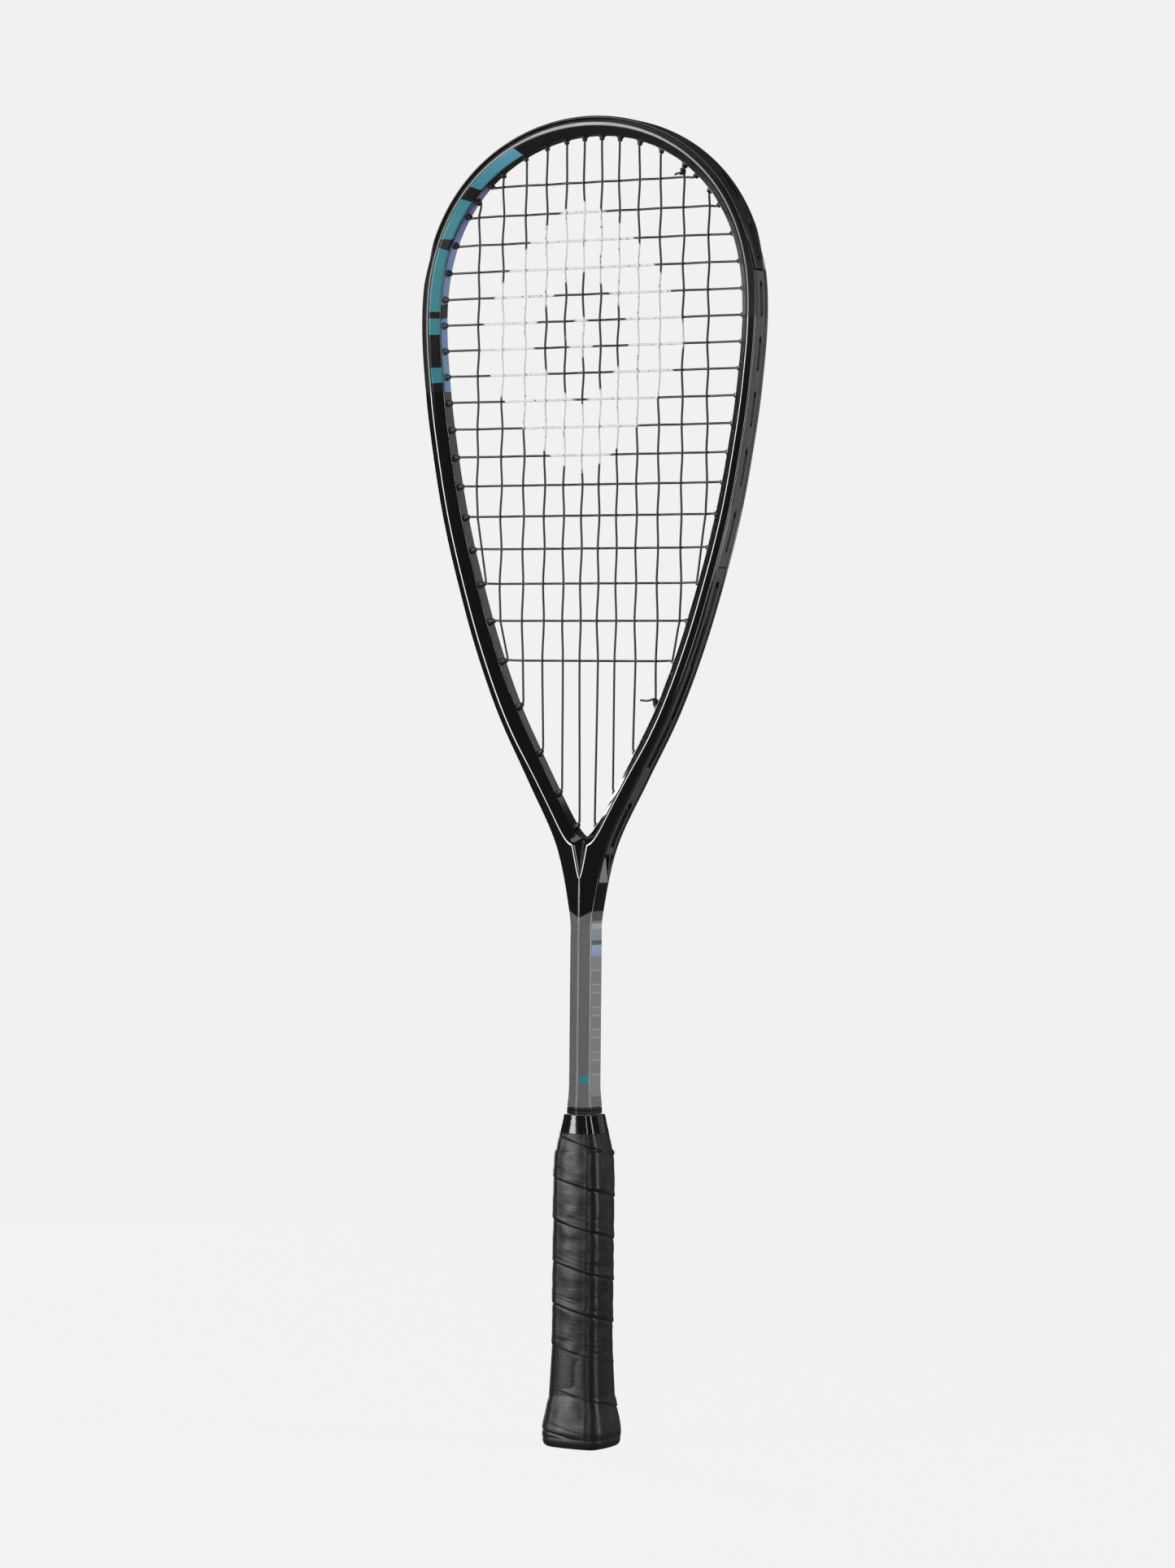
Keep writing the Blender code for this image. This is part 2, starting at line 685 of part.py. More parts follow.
def add_grommets(strip, holes):
    """Joins a barrel to the strip for each hole, then opens its bore."""
    below_string = CHANNEL_DEPTH + STRIP_BASE / 2 - STRING_DIAMETER / 2
    barrels = []
    bores = []
    for hole in holes:
        length = hole_length(hole)
        tilt = math.acos(np.dot(hole.direction, OUTER.normal(hole.reach)))
        end = length - below_string / math.cos(tilt) - hole.barrel_radius() * math.tan(tilt)
        barrels.append(drill(hole, hole.barrel_radius(), -BARREL_PROUD, end))
        bores.append(drill(hole, hole.bore_radius(), -PAST, length + PAST))
    boolean(strip, add_cutter(strip.name + "_barrels", merged(barrels)), "UNION")
    boolean(strip, add_cutter(strip.name + "_bores", merged(bores)), "DIFFERENCE")


def strip_holes(holes, names):
    """The holes with these names, each once."""
    return list(dict.fromkeys(holes[name] for name in names))


def build_bumper(plastic):
    """The head guard, from the fourth cross on the left over the crown to the fourth on the right."""
    end = BUMPER_END - CLEARANCE
    bumper = add_object("bumper_guard", loft(swept_band(bumper_profile, -end, end, 1)), plastic)
    names = [("top", place) for place in range(HALF_MAINS)]
    names += [("cross", number) for number in range(1, BUMPER_CROSSES + 1)]
    add_grommets(bumper, strip_holes(RIGHT, names) + strip_holes(LEFT, names))


def build_strips(nylon):
    """A side strip and a throat strip in the groove of each limb."""
    side_names = [("cross", number) for number in range(BUMPER_CROSSES + 1, SIDE_CROSSES + 1)]
    throat_names = [("cross", number) for number in range(SIDE_CROSSES + 1, CROSS_COUNT + 1)]
    throat_names += [("bottom", place) for place in range(HALF_MAINS)]
    for label, side, holes in (("right", 1, RIGHT), ("left", -1, LEFT)):
        for kind, channel, start, end, names in (
            ("side", NARROW_CHANNEL, BUMPER_END + 2 * CLEARANCE, SIDE_END - CLEARANCE, side_names),
            ("throat", WIDE_CHANNEL, SIDE_END + CLEARANCE, THROAT_STRIP_END, throat_names),
        ):
            profile = strip_profile(channel)
            band = loft(swept_band(lambda reach: profile, start, end, side))
            strip = add_object(f"{kind}_grommet_strip_{label}", band, nylon)
            add_grommets(strip, strip_holes(holes, names))


# ---------------------------------------------------------------- string


def channel_run(first, first_y, last, last_y, lane):
    """Points along the channel between two holes' mouths, keeping to a lane except near the mouths."""
    side = last.side
    start, end = first.reach * first.side * side, last.reach
    length = abs(end - start)
    ease = min(LANE_CHANGE, length / 2)
    from_first = ease if first_y != lane else 0.0
    to_last = length - (ease if last_y != lane else 0.0)
    steps = max(1, math.ceil((to_last - from_first) / CHANNEL_STEP))
    points = []
    for distance in np.linspace(from_first, to_last, steps + 1):
        if distance in (0.0, length):
            continue
        reach = start + math.copysign(distance, end - start)
        x, z = CHANNEL.at(abs(reach))
        points.append(Vector((math.copysign(x, reach) * side, lane, z)))
    return points


def main_y(place, number):
    """How far in front of or behind a cross a main passes it."""
    return WEAVE if (place + number) % 2 else -WEAVE


class StringRoute:
    """The string's way from its first tie-off, through every main and cross, to its last."""

    def __init__(self):
        self.points = []

    def leave(self, hole, y):
        """Out of the bed through a hole."""
        self.points += [hole.bend(y), hole.mouth(y)]

    def enter(self, hole, y):
        """Into the bed through a hole."""
        self.points += [hole.mouth(y), hole.bend(y)]

    def run(self, first, first_y, last, last_y, lane=0.0):
        """From one hole's mouth to the next, in the channel."""
        self.points += channel_run(first, first_y, last, last_y, lane)

    def main(self, place, side, down):
        """One main, woven past each cross that reaches it."""
        x = main_x(place)
        holes = RIGHT if side > 0 else LEFT
        top, bottom = holes["top", place], holes["bottom", place]
        low = bottom.point(0.0).z
        crossings = [
            Vector((x * side, main_y(place if side > 0 else place + 1, number), height))
            for number, height in enumerate(CROSS_Z, 1)
            if x < abs(holes["cross", number].bend(0.0).x) and low < height < top.bend(0.0).z
            and holes["cross", number] != bottom
        ]
        self.points += crossings if down else crossings[::-1]

    def hitch(self, hole, y, main_y_here):
        """Round the neighbouring main just inside a hole, which ties the string off."""
        outward = math.copysign(1.0, hole.direction[1])
        centre = hole.bend(main_y_here) - Vector((0.0, 0.0, HITCH_DROP * outward))
        along = Vector((hole.direction[0] * hole.side, 0.0, hole.direction[1]))
        across = along.cross(Vector((0.0, 1.0, 0.0)))
        toward = math.copysign(1.0, y - main_y_here)
        for turn in np.linspace(0.0, HITCH_TURN * 2 * math.pi, HITCH_STEPS):
            offset = Vector((0.0, toward * math.cos(turn), 0.0)) + across * math.sin(turn)
            self.points.append(centre + WEAVE * offset)


def top_y(place):
    """Where in its crown hole a main lies; the tie-off main leaves room for the string's first end."""
    return {TIE_OFF_MAIN: -LANE, HALF_MAINS - 1: LANE}.get(place, 0.0)


def bottom_y(place):
    """Where in its throat hole a main lies."""
    return LANE if place >= END_TIE_MAIN else 0.0


def cross_y(number):
    """Where in its hole a cross lies."""
    return -LANE if number == 1 or number in LOW_CROSSES else 0.0


def string_points():
    """The whole route: mains from right to left, then crosses from the crown down."""
    route = StringRoute()
    last_place = HALF_MAINS - 1
    tie, outer_top = RIGHT["top", TIE_OFF_MAIN], RIGHT["top", last_place]
    route.hitch(tie, LANE, -LANE)
    route.points.reverse()
    route.leave(tie, LANE)
    route.run(tie, LANE, outer_top, top_y(last_place), LANE)
    places = range(HALF_MAINS)
    mains = [(place, 1) for place in reversed(places)] + [(place, -1) for place in places]
    ends = {"top": top_y, "bottom": bottom_y}
    for number, (place, side) in enumerate(mains):
        down = number % 2 == 0
        first, last = ("top", "bottom") if down else ("bottom", "top")
        holes = RIGHT if side > 0 else LEFT
        route.enter(holes[first, place], ends[first](place))
        route.main(place, side, down)
        route.leave(holes[last, place], ends[last](place))
        if number + 1 < len(mains):
            next_place, next_side = mains[number + 1]
            onward = (RIGHT if next_side > 0 else LEFT)[last, next_place]
            lane = LANE if down and last_place in (place, next_place) else 0.0
            route.run(holes[last, place], ends[last](place), onward, ends[last](next_place), lane)
    route.run(LEFT["top", last_place], top_y(last_place), LEFT["cross", 1], cross_y(1))
    for number in range(1, CROSS_COUNT + 1):
        y = cross_y(number)
        first, last = (LEFT, RIGHT) if number % 2 else (RIGHT, LEFT)
        route.enter(first["cross", number], y)
        route.points.append(Vector((main_x(0) * first["cross", 1].side, 0.0, CROSS_Z[number - 1])))
        route.points.append(Vector((main_x(0) * last["cross", 1].side, 0.0, CROSS_Z[number - 1])))
        route.leave(last["cross", number], y)
        if number < CROSS_COUNT:
            lane = -LANE if number == 1 or number >= LOW_CROSSES[0] else 0.0
            route.run(last["cross", number], y, last["cross", number + 1], cross_y(number + 1), lane)
    end = RIGHT["bottom", END_TIE_MAIN]
    route.run(RIGHT["cross", CROSS_COUNT], -LANE, end, -LANE, -LANE)
    route.enter(end, -LANE)
    route.hitch(end, -LANE, LANE)
    return route.points


def build_string(gut):
    """The string as one six-sided tube along its whole route."""
    curve = bpy.data.curves.new("string", "CURVE")
    curve.dimensions = "3D"
    curve.bevel_depth = STRING_DIAMETER / 2
    curve.bevel_resolution = 1
    curve.use_fill_caps = True
    points = string_points()
    spline = curve.splines.new("POLY")
    spline.points.add(len(points) - 1)
    for place, point in zip(spline.points, points):
        place.co = (*point, 1.0)
    curve.materials.append(gut)
    bpy.context.scene.collection.objects.link(bpy.data.objects.new("string", curve))


# ---------------------------------------------------------------- handle


HANDLE_HEIGHTS = [share * HANDLE_LENGTH for share, _, _ in HANDLE_SHAPE]
WIDTH_CURVE = smooth_curve(list(zip([width for _, width, _ in HANDLE_SHAPE], HANDLE_HEIGHTS)), 8)
DEPTH_CURVE = smooth_curve(list(zip([depth for _, _, depth in HANDLE_SHAPE], HANDLE_HEIGHTS)), 8)


def handle_size(height):
    """The handle's width and depth at a height, against its straight part."""
    return [np.interp(height, curve[:, 1], curve[:, 0]) for curve in (WIDTH_CURVE, DEPTH_CURVE)]


def handle_ring(height, inset, corner_steps=3):
    """The handle's rounded section at a height, an inset in from the grip's surface."""
    width, depth = handle_size(height)
    half_x = GRIP_WIDTH / 2 * width - inset
    half_y = GRIP_DEPTH / 2 * depth - inset
    radius = min(max(GRIP_CORNER * width - inset, SMALLEST_CORNER), half_x, half_y)
    ring = []
    for quarter, (sx, sy) in enumerate(((1, 1), (-1, 1), (-1, -1), (1, -1))):
        centre_x, centre_y = sx * (half_x - radius), sy * (half_y - radius)
        for step in range(corner_steps + 1):
            turn = math.pi / 2 * (quarter + step / corner_steps)
            ring.append((centre_x + radius * math.cos(turn), centre_y + radius * math.sin(turn), height))
    return ring


GRIP_TOP = HANDLE_LENGTH - COLLAR_LENGTH - TAPE_LENGTH + TAPE_OVERLAP
TAPE_TOP = HANDLE_LENGTH - COLLAR_LENGTH - 2 * CLEARANCE
TAPE_BOTTOM = GRIP_TOP - TAPE_OVERLAP
GRIP_BOTTOM = CAP_FLOOR + CLEARANCE


def sleeve(outside, inside):
    """A closed sleeve from its outer rings and its inner rings, both from the bottom up."""
    return loft(outside + inside[::-1], loop=True)


def build_grip(leather):
    """The wound grip as one sleeve, thinned at the top where the tape lies over it."""
    heights = [GRIP_BOTTOM, *(share * HANDLE_LENGTH for share in GRIP_STATIONS), TAPE_BOTTOM]
    under_tape = TAPE_THICKNESS + CLEARANCE
    outside = [handle_ring(height, 0.0) for height in heights]
    outside += [handle_ring(height, under_tape) for height in (TAPE_BOTTOM + STEP_RISE, GRIP_TOP)]
    inside = [handle_ring(height, GRIP_THICKNESS) for height in [*heights, TAPE_BOTTOM + STEP_RISE, GRIP_TOP]]
    add_object("grip", sleeve(outside, inside), leather)


def build_tape(vinyl):
    """The finishing tape round the top of the grip and the foam's taper."""
    heights = np.linspace(TAPE_BOTTOM + CLEARANCE, TAPE_TOP, TAPE_STATIONS)
    outside = [handle_ring(height, 0.0) for height in heights]
    inside = [handle_ring(height, TAPE_THICKNESS) for height in heights]
    add_object("finishing_tape", sleeve(outside, inside), vinyl)


def build_collar(rubber):
    """The narrow ring round the shaft at the top of the handle, flush with the shaft's flare."""
    bottom, top = HANDLE_LENGTH - COLLAR_LENGTH, HANDLE_LENGTH - CLEARANCE
    outside = [shaft_ring(SHAFT_FLARE, height) for height in (bottom, top)]
    inside = [shaft_ring(CLEARANCE, height) for height in (bottom, top)]
    add_object("collar", sleeve(outside, inside), rubber)


def staple_rings(side, grown):
    """The outline of a staple in the butt cap's front or back, lying across and reaching into the foam."""
    face = GRIP_DEPTH / 2 * handle_size(STAPLE_HEIGHT)[1] - GRIP_THICKNESS - CLEARANCE
    half = STAPLE_WIDTH / 2 + grown
    inner_half = STAPLE_WIDTH / 2 - STAPLE_WIRE - grown
    back = face - STAPLE_WIRE - grown
    tip = face - STAPLE_LEG - grown
    front = face + grown
    outline = (
        (-half, front),
        (half, front),
        (half, tip),
        (inner_half, tip),
        (inner_half, back),
        (-inner_half, back),
        (-inner_half, tip),
        (-half, tip),
    )
    rings = []
    for height in (STAPLE_HEIGHT - STAPLE_WIRE / 2 - grown, STAPLE_HEIGHT + STAPLE_WIRE / 2 + grown):
        rings.append([(x, y * side, height) for x, y in outline])
    return rings


def build_butt(foam_material, cap_material, staple_material):
    """The foam handle on the shaft, the cap over its end and the two staples that hold the cap."""
    cap_outside = GRIP_THICKNESS + CLEARANCE
    cap_inside = cap_outside + CAP_WALL
    cap_heights = np.linspace(CAP_FLOOR, CAP_LENGTH, CAP_STATIONS)
    cap = loft(
        [
            *(handle_ring_at(up * CAP_FLOOR, CAP_FLOOR, inset * CAP_BOTTOM_INSET) for up, inset in CAP_EDGE),
            handle_ring(CAP_FLOOR, 0.0),
            handle_ring(CAP_FLOOR + STEP_RISE, cap_outside),
            *(handle_ring(height, cap_outside) for height in cap_heights[1:]),
            *(handle_ring(height, cap_inside) for height in cap_heights[::-1]),
        ]
    )
    foam_bottom = CAP_FLOOR + CLEARANCE
    step = CAP_LENGTH + CLEARANCE
    inside_cap = cap_inside + CLEARANCE
    under_grip = GRIP_THICKNESS + CLEARANCE
    under_tape = TAPE_THICKNESS + CLEARANCE
    lower = [(height, inside_cap) for height in np.linspace(foam_bottom, step, CAP_STATIONS)]
    middle = [(share * HANDLE_LENGTH, under_grip) for share in GRIP_STATIONS if share * HANDLE_LENGTH > step]
    grip_end = GRIP_TOP + CLEARANCE
    profile = [*lower, (step + STEP_RISE, under_grip), *middle, (grip_end, under_grip)]
    profile += [(grip_end + STEP_RISE, under_tape), (TAPE_TOP, under_tape)]
    foam = loft([handle_ring(height, inset) for height, inset in profile])
    foam_object = add_object("handle_foam", foam, foam_material)
    bore = loft([shaft_ring(CLEARANCE, height) for height in (0.0, HANDLE_LENGTH + COLLAR_LENGTH)])
    boolean(foam_object, add_cutter("foam_bore", bore), "DIFFERENCE")
    cap_object = add_object("butt_cap", cap, cap_material)
    for label, side in (("front", -1), ("back", 1)):
        add_object(f"butt_cap_staple_{label}", loft(staple_rings(side, 0.0)), staple_material)
        slot = add_cutter(f"staple_slot_{label}", loft(staple_rings(side, CLEARANCE)))
        boolean(cap_object, slot, "DIFFERENCE")
        boolean(foam_object, slot, "DIFFERENCE")


def handle_ring_at(height, size_height, inset):
    """A handle section drawn at one height with the size it has at another."""
    return [(x, y, height) for x, y, _ in handle_ring(size_height, inset)]


def main():
    """Clears the scene and builds every piece."""
    for old in list(bpy.data.objects):
        bpy.data.objects.remove(old)
    build_frame(make_material("painted_carbon_frame", "#17181A", 0.28))
    build_bumper(make_material("bumper_nylon", "#2B2C2E", 0.55))
    build_strips(make_material("grommet_nylon", "#1F2022", 0.5))
    build_string(make_material("multifilament_string", "#2E3032", 0.4))
    build_grip(make_material("cushioned_grip", "#26262A", 0.6))
    build_tape(make_material("vinyl_tape", "#141416", 0.25))
    build_collar(make_material("collar_rubber", "#161618", 0.5))
    build_butt(
        make_material("handle_foam", "#4A4A48", 0.9),
        make_material("butt_cap_plastic", "#1D1D20", 0.5),
        make_material("staple_steel", "#B8B8BA", 0.3, 1.0),
    )


main()
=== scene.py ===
"""Squash racket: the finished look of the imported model.

World frame: metres, +Z up the racket from the butt, X across the head, -Y the front face. The head's
lines are worked out for the right side (+X) and mirrored, as the model's are.
"""

import logging
import math
from collections.abc import Callable, Iterable, Sequence
from dataclasses import dataclass, field
from enum import Enum

import bmesh
import bpy
import numpy as np
from mathutils import Matrix, Vector, noise


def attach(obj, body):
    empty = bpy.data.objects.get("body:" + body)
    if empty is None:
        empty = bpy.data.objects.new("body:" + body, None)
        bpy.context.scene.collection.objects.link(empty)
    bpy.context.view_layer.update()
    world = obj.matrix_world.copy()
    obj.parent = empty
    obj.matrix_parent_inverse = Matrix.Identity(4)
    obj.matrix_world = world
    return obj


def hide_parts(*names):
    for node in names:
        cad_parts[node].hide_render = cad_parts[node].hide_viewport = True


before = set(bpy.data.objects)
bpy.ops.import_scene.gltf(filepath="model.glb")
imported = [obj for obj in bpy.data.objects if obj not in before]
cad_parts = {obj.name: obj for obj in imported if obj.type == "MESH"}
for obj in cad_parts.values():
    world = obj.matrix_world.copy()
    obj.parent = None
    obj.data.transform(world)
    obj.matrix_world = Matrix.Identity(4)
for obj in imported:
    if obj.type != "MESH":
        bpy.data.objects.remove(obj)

MM = 0.001
Point2 = np.ndarray
Place = Callable[[float, float], Vector]
LOG = logging.getLogger("racket")
Tree = bpy.types.NodeTree
Socket = bpy.types.NodeSocket


class Side(Enum):
    """The two halves of the head, by the sign of X."""

    RIGHT = 1
    LEFT = -1


class End(Enum):
    """The two ends of a main string, by the sign of Z."""

    CROWN = 1
    THROAT = -1


# ---------------------------------------------------------------- shader and mesh helpers


def linear(code: str) -> tuple[float, float, float, float]:
    """An sRGB hex colour as linear RGBA."""
    channels = [int(code[i : i + 2], 16) / 255 for i in (1, 3, 5)]
    rgb = [c / 12.92 if c <= 0.04045 else ((c + 0.055) / 1.055) ** 2.4 for c in channels]
    return (*rgb, 1.0)


def add_node(
    tree: Tree, kind: str, inputs: dict | None = None, links: dict | None = None, **settings: object
) -> bpy.types.Node:
    """Adds a shader node with its settings and links.

    Args:
        tree: The node tree it goes into.
        kind: The node's type name.
        inputs: Constants by socket name or number.
        links: Output sockets by the name or number of the input that they feed.
        **settings: Attributes of the node.

    Returns:
        The new node.
    """
    node = tree.nodes.new(kind)
    for name, value in settings.items():
        setattr(node, name, value)
    for key, value in (inputs or {}).items():
        node.inputs[key].default_value = value
    for key, source in (links or {}).items():
        tree.links.new(source, node.inputs[key])
    return node


def combine(tree: Tree, operation: str, first: Socket | float, second: Socket | float) -> Socket:
    """A sum, product or other result of two values.

    Args:
        tree: The node tree.
        operation: The maths node's operation.
        first: A socket or a constant.
        second: A socket or a constant.

    Returns:
        The result's socket.
    """
    node = add_node(tree, "ShaderNodeMath", operation=operation)
    for number, value in enumerate((first, second)):
        if isinstance(value, bpy.types.NodeSocket):
            tree.links.new(value, node.inputs[number])
        else:
            node.inputs[number].default_value = value
    return node.outputs["Value"]


def ranged(
    tree: Tree, value: Socket, low: float, high: float, to_low: float = 0.0, to_high: float = 1.0
) -> Socket:
    """A value mapped from one range to another and held at its ends.

    Args:
        tree: The node tree.
        value: The value's socket.
        low: Where its range starts.
        high: Where its range ends.
        to_low: The result at the start.
        to_high: The result at the end.

    Returns:
        The result's socket.
    """
    limits = {"From Min": low, "From Max": high, "To Min": to_low, "To Max": to_high}
    return add_node(tree, "ShaderNodeMapRange", limits, {"Value": value}).outputs["Result"]


def noisy(tree: Tree, where: Socket, scale: float, detail: float, distortion: float = 0.0) -> Socket:
    """A soft noise, 0 to 1.

    Args:
        tree: The node tree.
        where: The coordinates' socket.
        scale: Its waves in a metre.
        detail: How many finer layers it has.
        distortion: How far it is stirred.

    Returns:
        The noise's socket.
    """
    settings = {"Scale": scale, "Detail": detail, "Distortion": distortion}
    return add_node(tree, "ShaderNodeTexNoise", settings, {"Vector": where}).outputs["Fac"]


def bumped(
    tree: Tree, height: Socket, strength: float, distance: float, over: Socket | None = None
) -> Socket:
    """A normal roughened by a height.

    Args:
        tree: The node tree.
        height: The height's socket, 0 to 1.
        strength: How strongly it shows.
        distance: The height in metres that 1 stands for.
        over: A normal that it is laid over.

    Returns:
        The normal's socket.
    """
    links = {"Height": height} if over is None else {"Height": height, "Normal": over}
    settings = {"Strength": strength, "Distance": distance}
    return add_node(tree, "ShaderNodeBump", settings, links).outputs["Normal"]


def toned(tree: Tree, value: Socket, low: tuple, high: tuple, start: float = 0.0, end: float = 1.0) -> Socket:
    """A colour that runs between two as a value rises.

    Args:
        tree: The node tree.
        value: The value's socket.
        low: The colour at the start, linear RGBA.
        high: The colour at the end, linear RGBA.
        start: The value at the start.
        end: The value at the end.

    Returns:
        The colour's socket.
    """
    node = add_node(tree, "ShaderNodeValToRGB", None, {"Fac": value})
    for element, colour, position in zip(node.color_ramp.elements, (low, high), (start, end)):
        element.color, element.position = colour, position
    return node.outputs["Color"]


def mixed(tree: Tree, share: Socket, first: Socket | tuple, second: Socket | tuple) -> Socket:
    """A colour mixed from two.

    Args:
        tree: The node tree.
        share: How much of the second it has.
        first: A colour's socket, or linear RGBA.
        second: A colour's socket, or linear RGBA.

    Returns:
        The mixed colour's socket.
    """
    node = add_node(tree, "ShaderNodeMix", None, {0: share}, data_type="RGBA")
    for number, colour in ((6, first), (7, second)):
        if isinstance(colour, bpy.types.NodeSocket):
            tree.links.new(colour, node.inputs[number])
        else:
            node.inputs[number].default_value = colour
    return node.outputs[2]


def dress(shader: bpy.types.Node, colour: Socket, roughness: Socket, normal: Socket) -> None:
    """Links a finish's colour, roughness and normal to its shader."""
    for name, socket in (("Base Color", colour), ("Roughness", roughness), ("Normal", normal)):
        shader.id_data.links.new(socket, shader.inputs[name])


def new_material(name: str) -> tuple[bpy.types.Material, Tree, bpy.types.Node]:
    """A material with one Principled shader.

    Args:
        name: The finish's name.

    Returns:
        The material, its node tree and its shader.
    """
    material = bpy.data.materials.new(name)
    material.use_nodes = True
    tree = material.node_tree
    return material, tree, tree.nodes["Principled BSDF"]


def mapped_grid(columns: int, rows: int, place: Place, uv: Callable[[float, float], tuple] | None = None):
    """A grid whose points are moved by a function of their shares across it, with meeting edges welded.

    Args:
        columns: Faces along the first share.
        rows: Faces along the second share.
        place: Gives a point from its two shares, 0 to 1.
        uv: Gives the surface coordinates from the two shares.

    Returns:
        The bmesh.
    """
    bm = bmesh.new()
    layer = bm.loops.layers.uv.new("surface")
    bmesh.ops.create_grid(bm, x_segments=columns, y_segments=rows, size=0.5)
    shares = {vert: (round((vert.co.x + 0.5) * columns) / columns, round((vert.co.y + 0.5) * rows) / rows)
              for vert in bm.verts}
    for face in bm.faces:
        for loop in face.loops:
            loop[layer].uv = (uv or (lambda u, v: (u, v)))(*shares[loop.vert])
    for vert, (u, v) in shares.items():
        vert.co = place(u, v)
    bmesh.ops.remove_doubles(bm, verts=bm.verts, dist=0.5e-6)
    return bm


def fill_ends(bm: bmesh.types.BMesh) -> None:
    """Closes every open edge loop with one face."""
    bmesh.ops.holes_fill(bm, edges=[edge for edge in bm.edges if edge.is_boundary], sides=0)


def join(meshes: Iterable[bmesh.types.BMesh]) -> bmesh.types.BMesh:
    """Puts several bmeshes in one and frees them."""
    whole = bmesh.new()
    whole.loops.layers.uv.new("surface")
    for bm in meshes:
        mesh = bpy.data.meshes.new("part")
        bm.to_mesh(mesh)
        bm.free()
        whole.from_mesh(mesh)
        bpy.data.meshes.remove(mesh)
    return whole


def add_piece(
    name: str, bm: bmesh.types.BMesh, materials: Sequence[bpy.types.Material], slot: str, *nodes: str,
    sharp: float = 40.0,
) -> bpy.types.Object:
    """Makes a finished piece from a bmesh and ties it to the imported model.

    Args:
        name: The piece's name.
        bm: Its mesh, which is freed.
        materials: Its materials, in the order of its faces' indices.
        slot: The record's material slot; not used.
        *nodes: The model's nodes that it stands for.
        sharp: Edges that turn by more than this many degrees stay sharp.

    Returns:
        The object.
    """
    bmesh.ops.recalc_face_normals(bm, faces=bm.faces)
    mesh = bpy.data.meshes.new(name)
    bm.to_mesh(mesh)
    bm.free()
    mesh.shade_smooth()
    mesh.set_sharp_from_angle(angle=math.radians(sharp))
    for material in materials:
        mesh.materials.append(material)
    piece = bpy.data.objects.new(name, mesh)
    bpy.context.scene.collection.objects.link(piece)
    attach(piece, "root")
    if nodes:
        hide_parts(*nodes)
    LOG.info("%s: %d faces", name, len(mesh.polygons))
    return piece


def lathe(
    profile: Sequence[tuple[float, float]], steps: int, origin: Vector, axis: Vector, stretch: float = 0.0
) -> bmesh.types.BMesh:
    """A closed solid of revolution.

    Args:
        profile: Radius and height of each ring, from one end to the other.
        steps: Faces round it.
        origin: Where its axis starts.
        axis: The axis' direction.
        stretch: Added to the half width across Y, for two strings side by side.

    Returns:
        The bmesh.
    """
    along = axis.normalized()
    depth = Vector((0.0, 1.0, 0.0))
    across = along.cross(depth).normalized()

    def place(u: float, v: float) -> Vector:
        radius, height = profile[round(v * (len(profile) - 1))]
        turn = 2 * math.pi * u
        shift = stretch * math.cos(turn) if radius > 0 else 0.0
        aside, back = across * radius * math.sin(turn), depth * (radius * math.cos(turn) + shift)
        return origin + along * height + aside + back

    bm = mapped_grid(steps, len(profile) - 1, place)
    fill_ends(bm)
    return bm


# ---------------------------------------------------------------- the head's lines


def smooth_curve(points: Sequence[tuple[float, float]], steps: int) -> np.ndarray:
    """Points along the smooth curve through the given points, level at both ends in the first number."""
    points = np.array(points)
    slopes = np.gradient(points, axis=0)
    slopes[0] = (0.0, points[1, 1] - points[0, 1])
    slopes[-1] = (0.0, points[-1, 1] - points[-2, 1])
    found = [points[0]]
    for start, end, out, back in zip(points, points[1:], slopes, slopes[1:]):
        for t in np.linspace(0.0, 1.0, steps + 1)[1:]:
            found.append(
                start * (2 * t**3 - 3 * t**2 + 1)
                + out * (t**3 - 2 * t**2 + t)
                + end * (3 * t**2 - 2 * t**3)
                + back * (t**3 - t**2)
            )
    return np.array(found)


class Wall:
    """A line in the plane of the strings, from the crown down the right side, with its outward normals."""

    def __init__(self, points: np.ndarray) -> None:
        self.points = np.asarray(points)
        steps = np.diff(self.points, axis=0)
        self.reach = np.concatenate(([0.0], np.cumsum(np.hypot(steps[:, 0], steps[:, 1]))))
        along = np.gradient(self.points, self.reach, axis=0)
        normals = np.column_stack((-along[:, 1], along[:, 0]))
        normals[0] = (0.0, 1.0)
        self.normals = normals / np.linalg.norm(normals, axis=1)[:, None]

    def at(self, reach: float) -> Point2:
        """The point this far along the wall."""
        return np.array([np.interp(reach, self.reach, self.points[:, axis]) for axis in (0, 1)])

    def normal(self, reach: float) -> Point2:
        """The outward normal this far along the wall."""
        found = np.array([np.interp(reach, self.reach, self.normals[:, axis]) for axis in (0, 1)])
        return found / np.linalg.norm(found)

    def shifted(self, distance: float) -> "Wall":
        """The wall moved outwards by a distance."""
        return Wall(self.points + distance * self.normals)

    def where(self, axis: int, value: float, after: float = 0.0) -> float:
        """How far along the wall its x (axis 0) or z (axis 1) first passes a value, past a given reach."""
        offset = self.points[:, axis] - value
        for i in range(len(offset) - 1):
            if self.reach[i] >= after and offset[i] * offset[i + 1] <= 0:
                share = offset[i] / (offset[i] - offset[i + 1])
                return float(self.reach[i] + share * (self.reach[i + 1] - self.reach[i]))
        raise ValueError("the wall doesn't reach that value")

    def hit(self, origin: Point2, direction: Point2) -> float:
        """How far along the wall a ray meets it first."""
        offset = self.points - origin
        ahead = offset @ direction
        aside = direction[0] * offset[:, 1] - direction[1] * offset[:, 0]
        crossings = []
        for i in range(len(aside) - 1):
            if aside[i] * aside[i + 1] <= 0 and ahead[i] > 0:
                share = aside[i] / (aside[i] - aside[i + 1])
                crossings.append((ahead[i], self.reach[i] + share * (self.reach[i + 1] - self.reach[i])))
        return float(min(crossings)[1])


